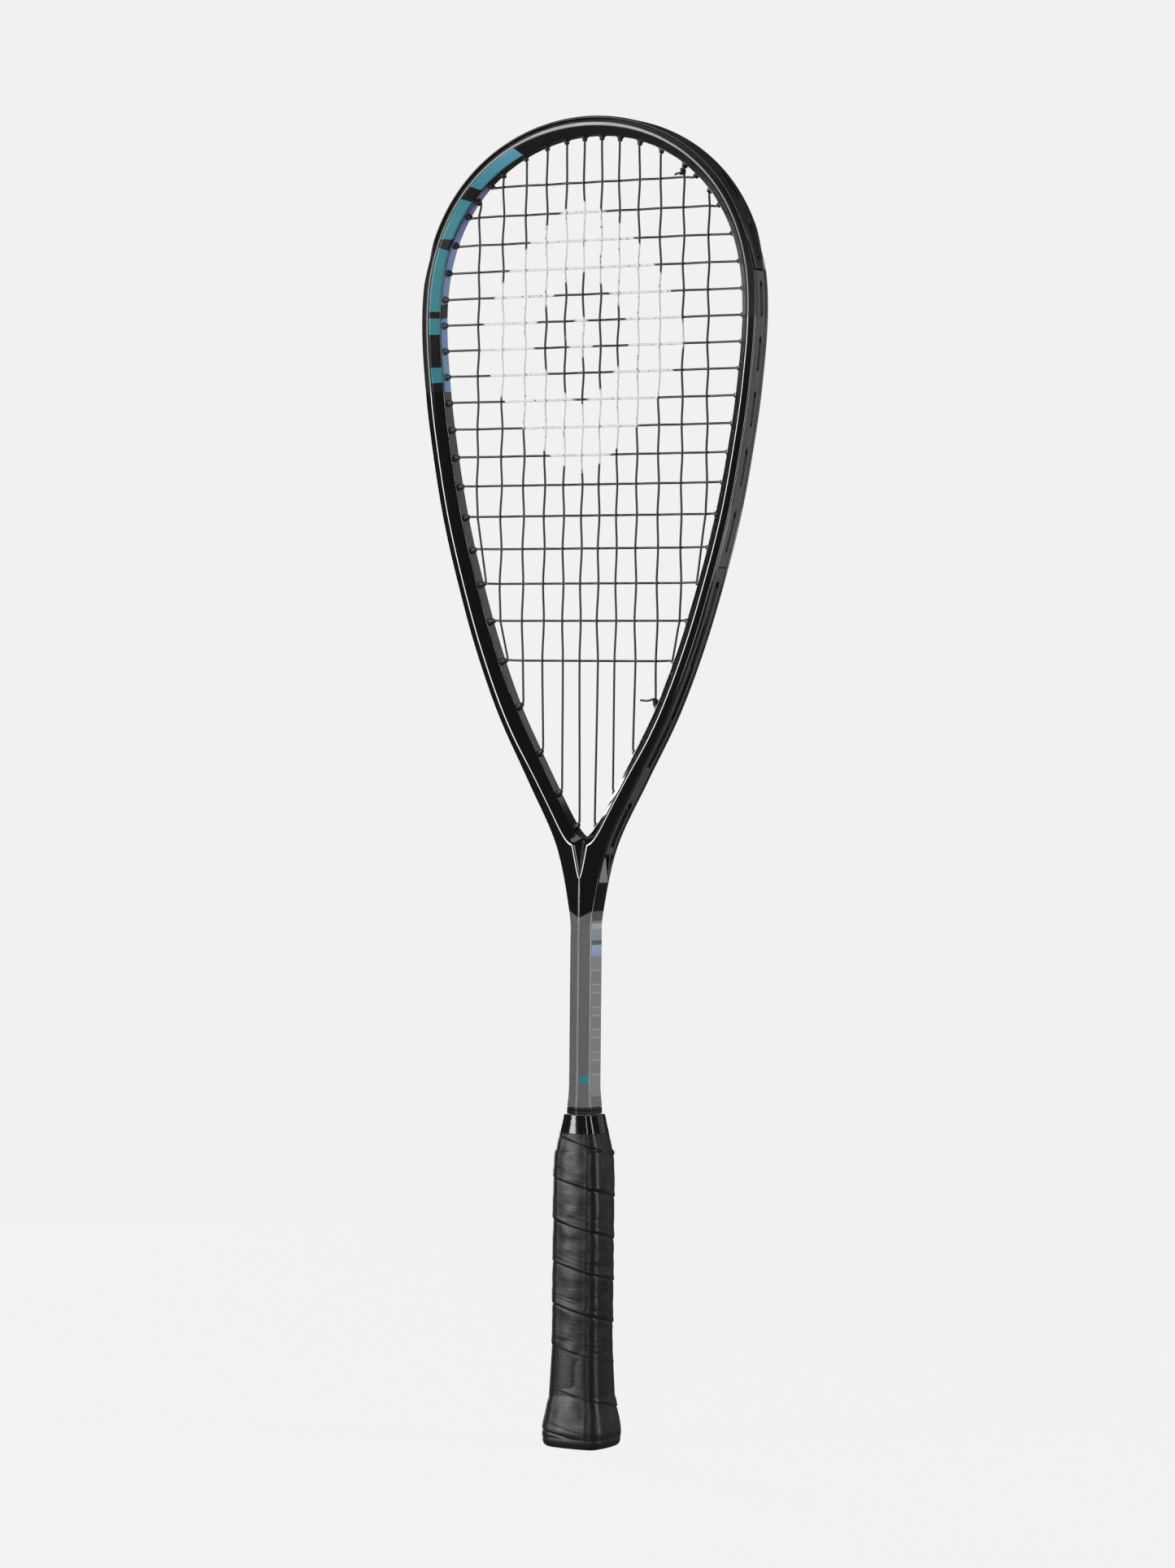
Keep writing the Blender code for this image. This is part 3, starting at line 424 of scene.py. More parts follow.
@dataclass(eq=False)
class HeadPlan:
    """The head's sizes and its lines in the plane of the strings."""

    handle_length: float = 176.0 * MM
    shaft_length: float = 86.0 * MM
    limb_length: float = 321.0 * MM
    crown_rise: float = 103.0 * MM
    head_width: float = 200.4 * MM
    shaft_width: float = 13.0 * MM
    beam: float = 15.4 * MM
    crown_power: float = 2.3
    tube_width: float = 9.6 * MM
    throat_height: float = 52.8 * MM
    throat_radius: float = 3.5 * MM
    throat_rise: float = 46.0 * MM
    string_diameter: float = 1.15 * MM
    clearance: float = 0.3 * MM
    barrel_proud: float = 1.2 * MM
    bend_clearance: float = 0.9 * MM
    crown_steps: int = 160
    limb_steps: int = 16
    limb_shape: tuple[tuple[float, float], ...] = (
        (1.0, 1.0),
        (0.883, 0.970),
        (0.779, 0.916),
        (0.674, 0.843),
        (0.570, 0.743),
        (0.465, 0.623),
        (0.360, 0.472),
        (0.256, 0.280),
        (0.151, 0.094),
        (0.047, 0.009),
        (0.0, 0.0),
    )
    outer: Wall = field(init=False)
    inner: Wall = field(init=False)
    channel: Wall = field(init=False)
    bend_line: Wall = field(init=False)

    def __post_init__(self) -> None:
        """Works out the four lines."""
        self.shaft_top = self.handle_length + self.shaft_length
        self.widest = self.shaft_top + self.limb_length
        self.throat_bottom = self.shaft_top + self.throat_height
        self.crown = self.widest + self.crown_rise
        self.outer = self.outer_wall()
        self.inner = self.inner_wall()
        self.channel = self.outer.shifted(-self.string_diameter / 2)
        self.bend_line = self.inner.shifted(-(self.barrel_proud + self.bend_clearance))

    def outer_wall(self) -> Wall:
        """The hoop's outer face: a crown a little fuller than an ellipse, then the limb's smooth curve."""
        turn = np.linspace(0.0, math.pi / 2, self.crown_steps)
        rise = self.crown_rise * np.abs(np.cos(turn)) ** (2 / self.crown_power)
        crown = np.column_stack((self.head_width / 2 * np.sin(turn), self.widest + rise))
        spread = (self.head_width - self.shaft_width) / 2
        limb = [
            (self.shaft_width / 2 + out * spread, self.shaft_top + up * self.limb_length)
            for up, out in self.limb_shape
        ]
        return Wall(np.vstack((crown[:-1], smooth_curve(limb, self.limb_steps))))

    def inner_wall(self) -> Wall:
        """The hoop's inner wall: even with the outer face, then the opening's rounded foot."""
        even = self.outer.shifted(-self.tube_width)
        top = self.throat_bottom + self.throat_rise
        join_x = even.at(even.where(1, top, even.reach[self.crown_steps]))[0]
        slope = (join_x**2 - 2 * self.throat_radius * self.throat_rise) / self.throat_rise**2
        rise = self.throat_rise * np.linspace(1.0, 0.0, self.crown_steps) ** 2
        foot_x = np.sqrt(2 * self.throat_radius * rise + slope * rise**2)
        foot = np.column_stack((foot_x, self.throat_bottom + rise))
        return Wall(np.vstack((even.points[even.points[:, 1] > top], foot)))


@dataclass(frozen=True)
class Hole:
    """One grommet hole, in the plane of the strings."""

    plan: HeadPlan
    inner: tuple[float, float]
    direction: tuple[float, float]
    reach: float
    wide: bool
    side: Side = Side.RIGHT

    def point(self, distance: float, y: float = 0.0) -> Vector:
        """A point on or beside the hole's axis, a distance outwards from the inner wall."""
        x, z = np.array(self.inner) + distance * np.array(self.direction)
        return Vector((x * self.side.value, y, z))

    def mouth(self, y: float) -> Vector:
        """Where the string turns from the hole into its channel."""
        x, z = self.plan.channel.at(self.reach)
        return Vector((x * self.side.value, y, z))

    def bend(self, y: float) -> Vector:
        """Where the string turns from the hole to its place in the bed."""
        return self.point(-(self.plan.barrel_proud + self.plan.bend_clearance), y)

    def axis(self) -> Vector:
        """The hole's direction, outwards."""
        return Vector((self.direction[0] * self.side.value, 0.0, self.direction[1]))

    def length(self) -> float:
        """From the inner wall to the string channel."""
        return (self.mouth(0.0) - self.point(0.0)).length

    def mirrored(self) -> "Hole":
        """The same hole on the left."""
        return Hole(self.plan, self.inner, self.direction, self.reach, self.wide, Side.LEFT)


@dataclass
class StringPattern:
    """Where the 12 mains and 17 crosses lie, and their grommet holes."""

    plan: HeadPlan
    half_mains: int = 6
    crosses: int = 17
    main_first: float = 0.0571
    main_step: float = 0.1132
    main_growth: float = 0.0055
    cross_first: float = 0.066
    cross_step: float = 0.0371
    cross_growth: float = 0.0054
    tightest_gap: int = 6
    tie_off_main: int = 4
    end_tie_main: int = 3
    low_crosses: tuple[int, ...] = (15, 16, 17)
    hole_lean: float = 0.35
    bumper_crosses: int = 4
    side_crosses: int = 14

    def __post_init__(self) -> None:
        """Works out the crosses' heights and the holes."""
        plan = self.plan
        self.lane = (plan.string_diameter + plan.clearance) / 2
        self.half_width = plan.head_width / 2 - plan.tube_width
        self.height = plan.crown - plan.tube_width - plan.throat_bottom
        self.cross_z = [plan.throat_bottom + self.height * (1 - self.cross_first)]
        for gap in range(1, self.crosses):
            drop = self.height * self.cross_step * (1 + self.cross_growth * (gap - self.tightest_gap) ** 2)
            self.cross_z.append(self.cross_z[-1] - drop)
        right = self.right_holes()
        self.holes = {Side.RIGHT: right, Side.LEFT: {name: hole.mirrored() for name, hole in right.items()}}
        self.bumper_end = self.between(("cross", self.bumper_crosses), ("cross", self.bumper_crosses + 1))
        self.side_end = self.between(("cross", self.side_crosses), ("cross", self.side_crosses + 1))

    def main_x(self, place: int) -> float:
        """A main's distance from the middle; the middle two have place 0."""
        return self.half_width * (self.main_first + self.main_step * place + self.main_growth * place**2)

    def make_hole(self, reach: float, toward: tuple[float, float], wide: bool) -> Hole:
        """The hole whose string bends at this reach along the bend line and leaves in this direction."""
        plan = self.plan
        direction = plan.bend_line.normal(reach) + self.hole_lean * np.array(toward)
        direction = direction / np.linalg.norm(direction)
        inner = plan.bend_line.at(reach) + direction * (plan.barrel_proud + plan.bend_clearance)
        return Hole(plan, tuple(inner), tuple(direction), plan.channel.hit(inner, direction), wide)

    def right_holes(self) -> dict[tuple, Hole]:
        """Every hole on the right, by (End, main's place) or ("cross", number)."""
        line = self.plan.bend_line
        widest = line.where(1, self.plan.widest)
        shared = {self.half_mains - 2: 17, self.half_mains - 1: 15}
        holes: dict[tuple, Hole] = {}
        for place in range(self.half_mains):
            x = self.main_x(place)
            holes[End.CROWN, place] = self.make_hole(line.where(0, x), (0.0, 1.0), place >= self.tie_off_main)
            if place not in shared:
                reach = line.where(0, x, widest)
                holes[End.THROAT, place] = self.make_hole(reach, (0.0, -1.0), place == self.end_tie_main)
        for number, height in enumerate(self.cross_z, 1):
            wide = number == 1 or number in self.low_crosses
            holes["cross", number] = self.make_hole(line.where(1, height), (1.0, 0.0), wide)
        for place, number in shared.items():
            holes[End.THROAT, place] = holes["cross", number]
        return holes

    def between(self, first: tuple, second: tuple) -> float:
        """Halfway between two holes along the outer face."""
        holes = self.holes[Side.RIGHT]
        return (holes[first].reach + holes[second].reach) / 2

    def loops(self) -> list[tuple[float, float]]:
        """The stretches of channel that hold string, as signed reaches from the crown, right positive."""
        last, low = self.half_mains - 1, self.low_crosses
        crown, throat = End.CROWN, End.THROAT
        pairs = {
            Side.RIGHT: [
                ((crown, last - 1), (crown, last)),
                ((crown, 3), (crown, 4)),
                ((crown, 1), (crown, 2)),
                (("cross", low[2]), (throat, self.end_tie_main)),
                *((("cross", n), ("cross", n + 1)) for n in range(1, self.crosses, 2)),
            ],
            Side.LEFT: [
                ((crown, 1), (crown, 2)),
                ((crown, 3), (crown, 4)),
                ((crown, last), ("cross", 1)),
                *((("cross", n), ("cross", n + 1)) for n in range(2, self.crosses, 2)),
            ],
        }
        centre = self.holes[Side.RIGHT][crown, 0].reach
        spans = [(-centre, centre)]
        for side, own in pairs.items():
            both = [(("cross", low[0]), ("cross", low[2]))]
            both += [((throat, 2), (throat, 3)), ((throat, 0), (throat, 1))]
            for first, second in own + both:
                ends = [self.holes[side][name].reach * side.value for name in (first, second)]
                spans.append((min(ends), max(ends)))
        return spans


# ---------------------------------------------------------------- finishes


@dataclass(frozen=True)
class Lacquer:
    """Sprayed and baked lacquer over carbon composite: deep colour, a clear coat, faint orange peel."""

    name: str
    colour: str
    roughness: float
    coat: float
    coat_roughness: float
    coat_index: float = 1.8

    def base(self) -> tuple[bpy.types.Material, Tree, bpy.types.Node]:
        """The material with its orange peel and uneven gloss.

        Returns:
            The material, its node tree and its shader.
        """
        material, tree, shader = new_material(self.name)
        where = add_node(tree, "ShaderNodeTexCoord").outputs["Object"]
        # The peel is about a millimetre across, and the haze, about 15 mm across, breaks up the gloss.
        peel, haze = noisy(tree, where, 900.0, 1.0), noisy(tree, where, 60.0, 3.0)
        rough = ranged(tree, haze, 0.3, 0.7, self.roughness * 0.88, self.roughness * 1.12)
        tree.links.new(rough, shader.inputs["Roughness"])
        tree.links.new(bumped(tree, peel, 0.05, 0.1 * MM), shader.inputs["Normal"])
        shader.inputs["Base Color"].default_value = linear(self.colour)
        shader.inputs["Coat Weight"].default_value = self.coat
        shader.inputs["Coat Roughness"].default_value = self.coat_roughness
        shader.inputs["Coat IOR"].default_value = self.coat_index
        return material, tree, shader


@dataclass(frozen=True)
class Mark:
    """A flat block of colour: print on the frame, or painted shade in the grommet strips' slots; a stretch
    along it and a band round its section.
    """

    colour: str
    start: float
    end: float
    band: tuple[float, float]
    slant: float = 0.0
    fade_to: str = ""


def step_between(tree: Tree, value: Socket, low: float, high: float, blur: float) -> Socket:
    """A mask that is 1 where a value lies between two limits.

    Args:
        tree: The node tree.
        value: The value's socket.
        low: The lower limit.
        high: The upper limit.
        blur: Width of the soft edge.

    Returns:
        The mask's socket.
    """
    rise = ranged(tree, value, low - blur / 2, low + blur / 2)
    fall = ranged(tree, value, high - blur / 2, high + blur / 2, 1.0, 0.0)
    return combine(tree, "MULTIPLY", rise, fall)


def paint_marks(tree: Tree, base: Socket, marks: Sequence[Mark]) -> Socket:
    """Lays marks over a base colour: print, and painted shade where a mark stands for it.

    Args:
        tree: The node tree.
        base: The colour socket under the marks.
        marks: The marks, the later over the earlier.

    Returns:
        The marked colour's socket.
    """
    surface = add_node(tree, "ShaderNodeUVMap", uv_map="surface").outputs["UV"]
    split = add_node(tree, "ShaderNodeSeparateXYZ", None, {"Vector": surface})
    along, around = split.outputs["X"], split.outputs["Y"]
    colour = base
    for mark in marks:
        place = along
        if mark.slant:
            place = combine(tree, "ADD", combine(tree, "MULTIPLY", around, mark.slant), along)
        length = step_between(tree, place, mark.start, mark.end, 0.25 * MM)
        band = step_between(tree, around, *mark.band, 0.006)
        fade = ranged(tree, place, mark.start, mark.end)
        ink = mixed(tree, fade, linear(mark.colour), linear(mark.fade_to or mark.colour))
        colour = mixed(tree, combine(tree, "MULTIPLY", length, band), colour, ink)
    return colour


# ---------------------------------------------------------------- swept sections


def rounded_ring(
    corners: Sequence[Vector], cuts: Sequence[float], steps: int, hold: float = 0.35 * MM
) -> list[tuple[Vector, float]]:
    """A closed outline with rounded corners and a holding point each side of every corner.

    Args:
        corners: The outline's corners.
        cuts: How far along its sides each corner is cut back.
        steps: Faces round each corner.
        hold: From the end of a corner's round to its holding point.

    Returns:
        The points, each with its place round the outline as a number of corners.
    """
    ring = []
    for number, corner in enumerate(corners):
        legs = []
        for other in (corners[number - 1], corners[(number + 1) % len(corners)]):
            leg = other - corner
            cut = min(cuts[number], 0.42 * leg.length)
            legs.append((leg.normalized() * cut, leg.normalized() * min(cut + hold, 0.48 * leg.length)))
        (cut_back, hold_back), (cut_on, hold_on) = legs
        ring.append((corner + hold_back, number - 0.3))
        for step in range(steps + 1):
            t = step / steps
            start, end = corner + cut_back, corner + cut_on
            point = start * (1 - t) ** 2 + corner * (2 * t * (1 - t)) + end * t**2
            ring.append((point, number - 0.25 + 0.5 * t))
        ring.append((corner + hold_on, number + 0.3))
    return ring


def swept(rings: Sequence[Sequence[tuple[Vector, float]]], reaches: Sequence[float], corner_count: int):
    """The surface through a row of outlines, with how far along and how far round as its coordinates.

    Args:
        rings: The outlines, each as rounded_ring gives it.
        reaches: How far along the wall each outline is.
        corner_count: Corners in each outline.

    Returns:
        The bmesh, open at both ends.
    """
    columns, rows = len(rings) - 1, len(rings[0])

    def place(u: float, v: float) -> Vector:
        return rings[round(u * columns)][round(v * rows) % rows][0]

    def uv(u: float, v: float) -> tuple[float, float]:
        number = round(v * rows)
        turn = rings[0][number % rows][1] + (corner_count if number == rows else 0)
        return reaches[round(u * columns)], turn / corner_count

    return mapped_grid(columns, rows, place, uv)


def tube(path: Sequence[Vector], radius: float, sides: int) -> bmesh.types.BMesh:
    """A round tube along a path, closed at both ends.

    Args:
        path: Points along its middle.
        radius: Its radius.
        sides: Faces round it.

    Returns:
        The bmesh.
    """
    neighbours = zip([path[0], *path], [*path[1:], path[-1]])
    tangents = [(after - before).normalized() for before, after in neighbours]
    across = tangents[0].orthogonal().normalized()
    frames = []
    for tangent in tangents:
        across = (across - tangent * across.dot(tangent)).normalized()
        frames.append((across.copy(), tangent.cross(across)))

    def place(u: float, v: float) -> Vector:
        number = round(u * (len(path) - 1))
        turn = 2 * math.pi * v
        side, up = frames[number]
        return path[number] + radius * (side * math.cos(turn) + up * math.sin(turn))

    bm = mapped_grid(len(path) - 1, sides, place)
    fill_ends(bm)
    return bm


# ---------------------------------------------------------------- frame


@dataclass
class Station:
    """Half of the frame's section at one place, on the right."""

    inner: Point2
    outer: Point2
    normal: Point2
    reach: float
    ridge_inset: float
    inner_half: float
    ridge_half: float
    side_half: float
    groove: float
    lip_drop: float = 0.0
    side_drop: float = 0.0


@dataclass
class Frame:
    """The hoop, the throat and the shaft: one moulding of lacquered carbon composite."""

    plan: HeadPlan
    pattern: StringPattern
    inner_wall_height: float = 7.8 * MM
    ridge_inset: float = 5.1 * MM
    hoop_side_height: float = 13.4 * MM
    shaft_side_height: float = 10.4 * MM
    groove_height: float = 8.8 * MM
    groove_depth: float = 2.55 * MM
    groove_fade: float = 14.0 * MM
    flange: float = 1.2 * MM
    throat_fall: float = 11.0 * MM
    ridge_meeting: float = 21.0 * MM
    ridge_flat: float = 0.55 * MM
    shaft_flare: float = 0.8 * MM
    flare_length: float = 12.0 * MM
    shaft_foot: float = 4.3 * MM
    spacing: float = 1.9 * MM
    gloss_below: float = 579.0 * MM
    gloss_below_left: float = 546.0 * MM
    gloss_full_below: float = 500.0 * MM
    metal_top: tuple[float, float] = (273.5 * MM, 277.0 * MM)
    tongue: float = 22.0 * MM
    cuts: tuple[float, ...] = (0.8 * MM, 1.25 * MM, 0.8 * MM, 0.25 * MM, 0.1 * MM)

    def __post_init__(self) -> None:
        """Works out where the throat begins and the string groove ends."""
        plan = self.plan
        self.join = plan.outer.where(1, plan.throat_bottom + plan.throat_rise + 4.0 * MM, 0.2)
        self.groove_end = self.pattern.holes[Side.RIGHT][End.THROAT, 0].reach + 6.0 * MM
        self.rebate_end = self.pattern.bumper_end + plan.clearance

    def side_half(self, reach: float) -> float:
        """Half the outer face's height, which narrows from the hoop to the shaft along the throat."""
        start = self.join
        share = np.clip((reach - start) / (self.plan.outer.reach[-1] - start), 0.0, 1.0)
        return (self.hoop_side_height * (1 - share) + self.shaft_side_height * share) / 2

    def groove(self, reach: float) -> float:
        """The string groove's depth, which fades out below the throat strips."""
        share = np.clip((self.groove_end + self.groove_fade - reach) / self.groove_fade, 0.0, 1.0)
        return self.groove_depth * share

    def station(self, reach: float, inner: Point2 | None = None) -> Station:
        """A station of the hoop or the throat at a reach."""
        outer, normal = self.plan.outer.at(reach), self.plan.outer.normal(reach)
        if inner is None:
            inner = outer - normal * self.plan.tube_width
        drop = self.flange + self.plan.clearance if reach <= self.rebate_end else 0.0
        share = min(max((self.rebate_end - reach) / self.tongue, 0.0), 1.0)
        return Station(
            inner, outer, normal, reach, self.ridge_inset, self.inner_wall_height / 2, self.plan.beam / 2,
            self.side_half(reach), self.groove(reach), drop, drop * share,
        )

    def hoop(self) -> list[Station]:
        """Stations from the crown to where the throat begins."""
        count = math.ceil(self.join / self.spacing)
        ends = [self.rebate_end, self.rebate_end + 0.2 * MM]
        return [self.station(reach) for reach in sorted([*np.linspace(0.0, self.join, count + 1), *ends])]

    def throat(self) -> list[Station]:
        """Stations round the foot of the opening, then down to where the two limbs' ridges have met."""
        plan = self.plan
        foot_reach = plan.outer.where(1, plan.throat_bottom - self.throat_fall, self.join)
        top = self.hoop()[-1].inner[1]
        after = plan.inner.where(1, top)
        stations = []
        for share in np.linspace(0.0, 1.0, 31)[1:]:
            height = plan.throat_bottom + (top - plan.throat_bottom) * (1 - share) ** 1.6
            inner = plan.inner.at(plan.inner.where(1, height, after)) if share < 1 else np.array(
                (0.0, plan.throat_bottom)
            )
            stations.append(self.station(self.join + share * (foot_reach - self.join), inner))
        flat_half = self.shaft_ridge(0.0)[0]
        end_height = plan.throat_bottom - self.ridge_meeting - self.throat_fall
        end_reach = plan.outer.where(1, end_height, self.join)
        for share in np.linspace(0.0, 1.0, 15)[1:]:
            reach = foot_reach + share * (end_reach - foot_reach)
            station = self.station(reach, np.array((0.0, plan.throat_bottom - share * self.ridge_meeting)))
            station.ridge_inset = self.ridge_inset * (1 - share) + self.ridge_flat * share
            station.inner_half = station.inner_half * (1 - share) + flat_half * share
            station.ridge_half = station.ridge_half * (1 - share) + flat_half * share
            stations.append(station)
        return stations

    def shaft_ridge(self, grown: float) -> tuple[float, float]:
        """The half height of the shaft's narrow front flat, and how fast the face beside it falls."""
        slope = (self.plan.beam - self.shaft_side_height) / self.plan.shaft_width
        ridge = self.plan.beam / 2 + grown * math.hypot(1.0, slope)
        return ridge - slope * self.ridge_flat, slope

    def shaft_after(self, last: Station) -> float:
        """The reach at which the straight shaft begins, below a last station of the throat."""
        return last.reach + last.outer[1] - self.plan.shaft_top

    def shaft(self, last: Station) -> list[Station]:
        """Stations of the straight shaft, its flare above the collar and its length in the handle."""
        plan, after = self.plan, self.shaft_after(last)
        flare = np.linspace(0.0, 1.0, 9)
        flare_top = plan.handle_length + self.flare_length
        heights = [(height, 0.0) for height in np.linspace(plan.shaft_top, flare_top, 24)]
        heights += [
            (plan.handle_length + self.flare_length * (1 - share), self.shaft_flare * share**1.6)
            for share in flare[1:]
        ]
        heights += [(plan.handle_length - 0.05 * MM, 0.0), (self.shaft_foot, 0.0)]
        stations = []
        flat_half = self.shaft_ridge(0.0)[0]
        for height in np.linspace(last.outer[1], plan.shaft_top, 12)[1:-1]:
            wall_reach = plan.outer.where(1, height, self.join)
            stations.append(
                Station(
                    np.array((0.0, height)), plan.outer.at(wall_reach), plan.outer.normal(wall_reach),
                    after + plan.shaft_top - height, self.ridge_flat, flat_half, flat_half,
                    self.side_half(wall_reach), 0.0,
                )
            )
        for height, grown in heights:
            flat_half, slope = self.shaft_ridge(grown)
            side = plan.shaft_width / 2 + grown
            stations.append(
                Station(
                    np.array((0.0, height)), np.array((side, height)), np.array((1.0, 0.0)),
                    after + plan.shaft_top - height, self.ridge_flat, flat_half, flat_half,
                    flat_half - slope * (side - self.ridge_flat), 0.0,
                )
            )
        return stations

    def ring(self, station: Station) -> list[tuple[Vector, float]]:
        """A station's rounded outline, front points from the inside out and back ones from the outside in."""
        across = station.outer - station.inner
        ridge = station.inner + across * station.ridge_inset / np.linalg.norm(across)
        side = station.outer - station.normal * station.side_drop
        shoulder = station.outer - station.normal * station.lip_drop
        bed = station.outer - station.normal * max(station.groove, station.lip_drop)
        half = (
            (station.inner, station.inner_half),
            (ridge, station.ridge_half),
            (side, station.side_half),
            (shoulder, self.groove_height / 2),
            (bed, self.groove_height / 2),
        )
        front = [Vector((point[0], -y, point[1])) for point, y in half]
        back = [Vector((point[0], y, point[1])) for point, y in reversed(half)]
        return rounded_ring(front + back, [*self.cuts, *reversed(self.cuts)], 4)

    def build(self) -> bpy.types.Object:
        """Makes the frame.

        Returns:
            The piece.
        """
        stations = self.hoop() + self.throat()
        stations += self.shaft(stations[-1])
        for station in stations:
            if station.inner[0] <= 0:
                station.inner = np.array((0.0, station.inner[1]))
        bm = swept([self.ring(station) for station in stations], [station.reach for station in stations], 10)
        inside = [face for face in bm.faces if all(abs(vert.co.x) < 1e-6 for vert in face.verts)]
        bmesh.ops.delete(bm, geom=inside, context="FACES")
        half = bm.verts[:] + bm.edges[:] + bm.faces[:]
        bmesh.ops.mirror(bm, geom=half, matrix=Matrix(), merge_dist=1e-6, axis="X")
        layer = bm.loops.layers.uv["surface"]
        gloss = {left: self.plan.outer.where(1, height) for left, height in (
            (False, self.gloss_below), (True, self.gloss_below_left)
        )}
        for face in bm.faces:
            left = face.calc_center_median().x < 0
            reach = sum(loop[layer].uv.x for loop in face.loops) / len(face.loops)
            face.material_index = 1 if reach > gloss[left] else 0
            if left:
                for loop in face.loops:
                    loop[layer].uv.x *= -1
        fill_ends(bm)
        return add_piece("frame_shell", bm, [self.satin(), self.gloss()], "frame_paint", "frame", sharp=60)

    def bevel_reach(self, height: float) -> float:
        """How far along the outer face the inner bevel passes a height, below the crown."""
        wall = self.plan.outer
        heights = wall.points[:, 1] - wall.normals[:, 1] * (self.plan.tube_width - self.ridge_inset / 2)
        return float(np.interp(-height, -heights, wall.reach))

    def satin(self) -> bpy.types.Material:
        """Satin black of the upper head, with printed colour bars on the left limb."""
        finish = Lacquer("satin_black_lacquer", "#0B0B0D", 0.32, 0.4, 0.16)
        material, tree, shader = finish.base()
        plain = add_node(tree, "ShaderNodeRGB")
        plain.outputs[0].default_value = linear(finish.colour)
        reach, bevel, wall = self.bevel_reach, (-0.012, 0.09), (0.902, 0.99)
        marks = [
            Mark("#4A9FB0", -reach(653.0 * MM), -reach(670.5 * MM), bevel, 0.03, "#6AB2D0"),
            Mark("#4A9FAC", -reach(627.5 * MM), -reach(647.0 * MM), bevel, 0.03),
            Mark("#479CA8", -reach(588.5 * MM), -reach(621.0 * MM), bevel),
            Mark("#4398A4", -reach(576.5 * MM), -reach(585.0 * MM), bevel),
            Mark("#3E939F", -reach(551.2 * MM), -reach(559.2 * MM), bevel),
            Mark("#7FA3D0", -reach(619.0 * MM), -reach(670.0 * MM), wall, 0.03, "#8E86C0"),
            Mark("#7FA3D0", -reach(548.0 * MM), -reach(612.0 * MM), wall, 0.03),
        ]
        tree.links.new(paint_marks(tree, plain.outputs[0], marks), shader.inputs["Base Color"])
        return material

    def gloss(self) -> bpy.types.Material:
        """Gloss black of the throat, running into the gunmetal shaft with its printed marks."""
        finish = Lacquer("gloss_black_lacquer", "#060608", 0.12, 1.0, 0.04)
        material, tree, shader = finish.base()
        where = add_node(tree, "ShaderNodeTexCoord").outputs["Object"]
        split = add_node(tree, "ShaderNodeSeparateXYZ", None, {"Vector": where})
        side = combine(tree, "ABSOLUTE", split.outputs["X"], 0.5)
        edge = ranged(tree, side, 0.0, self.plan.shaft_width / 2, *self.metal_top)
        below = combine(tree, "SUBTRACT", edge, split.outputs["Z"])
        metal = ranged(tree, below, -0.2 * MM, 0.2 * MM)
        # Metal flake a little under half a millimetre across keeps the gunmetal from looking flat.
        flake = noisy(tree, where, 2500.0, 0.0)
        grey = toned(tree, flake, linear("#5C5C5B"), linear("#787877"), 0.3, 0.7)
        paint = mixed(tree, metal, linear(finish.colour), grey)
        start = self.shaft_after(self.throat()[-1]) + self.plan.shaft_top
        right = (0.205, 0.795)
        front = (0.102, 0.195)

        def down(height: float) -> float:
            return start - height * MM

        marks = [
            Mark("#A9B4BA", down(270.6), down(262.0), right, 0.0, "#8FA6B8"),
            Mark("#8CBBE0", down(259.5), down(253.6), right, 0.0, "#8A8CC8"),
            Mark("#2C8C96", down(192.4), down(188.6), front),
        ]
        for block in range(5):
            top = 246.8 - 11.6 * block
            marks.append(Mark("#94948F", down(top), down(top - 8.0), (0.405, 0.495)))
            marks.append(Mark("#5E5E5D", down(top - 0.8), down(top - 7.2), (0.42, 0.48)))
        tree.links.new(paint_marks(tree, paint, marks), shader.inputs["Base Color"])
        matt = ranged(tree, split.outputs["Z"], self.gloss_full_below, self.gloss_below, 0.0, 0.26)
        rough = ranged(tree, metal, 0.0, 1.0, 0.1, 0.36)
        tree.links.new(combine(tree, "MAXIMUM", rough, matt), shader.inputs["Roughness"])
        return material


# ---------------------------------------------------------------- bumper and grommet strips


@dataclass(frozen=True)
class MouldedNylon:
    """Injection-moulded black nylon with a fine spark-eroded grain, with any marks of painted shade laid over
    its tone.
    """

    name: str
    colour: str
    roughness: float
    grain: float = 0.35 * MM
    painted_shade_marks: tuple[Mark, ...] = ()

    def material(self) -> bpy.types.Material:
        """The finish.

        Returns:
            The material.
        """
        material, tree, shader = new_material(self.name)
        where = add_node(tree, "ShaderNodeTexCoord").outputs["Object"]
        grain, scuff = noisy(tree, where, 1 / self.grain, 2.0), noisy(tree, where, 90.0, 4.0)
        rough = ranged(tree, scuff, 0.3, 0.7, self.roughness - 0.07, self.roughness + 0.07)
        dark = linear(self.colour)
        tone = toned(tree, scuff, dark, (*(1.25 * c for c in dark[:3]), 1.0))
        # The shade marks are painted shade, such as the strips' near-black string slots, laid over the tone.
        dress(shader, paint_marks(tree, tone, self.painted_shade_marks), rough, bumped(tree, grain, 0.25, 0.05 * MM))
        return material


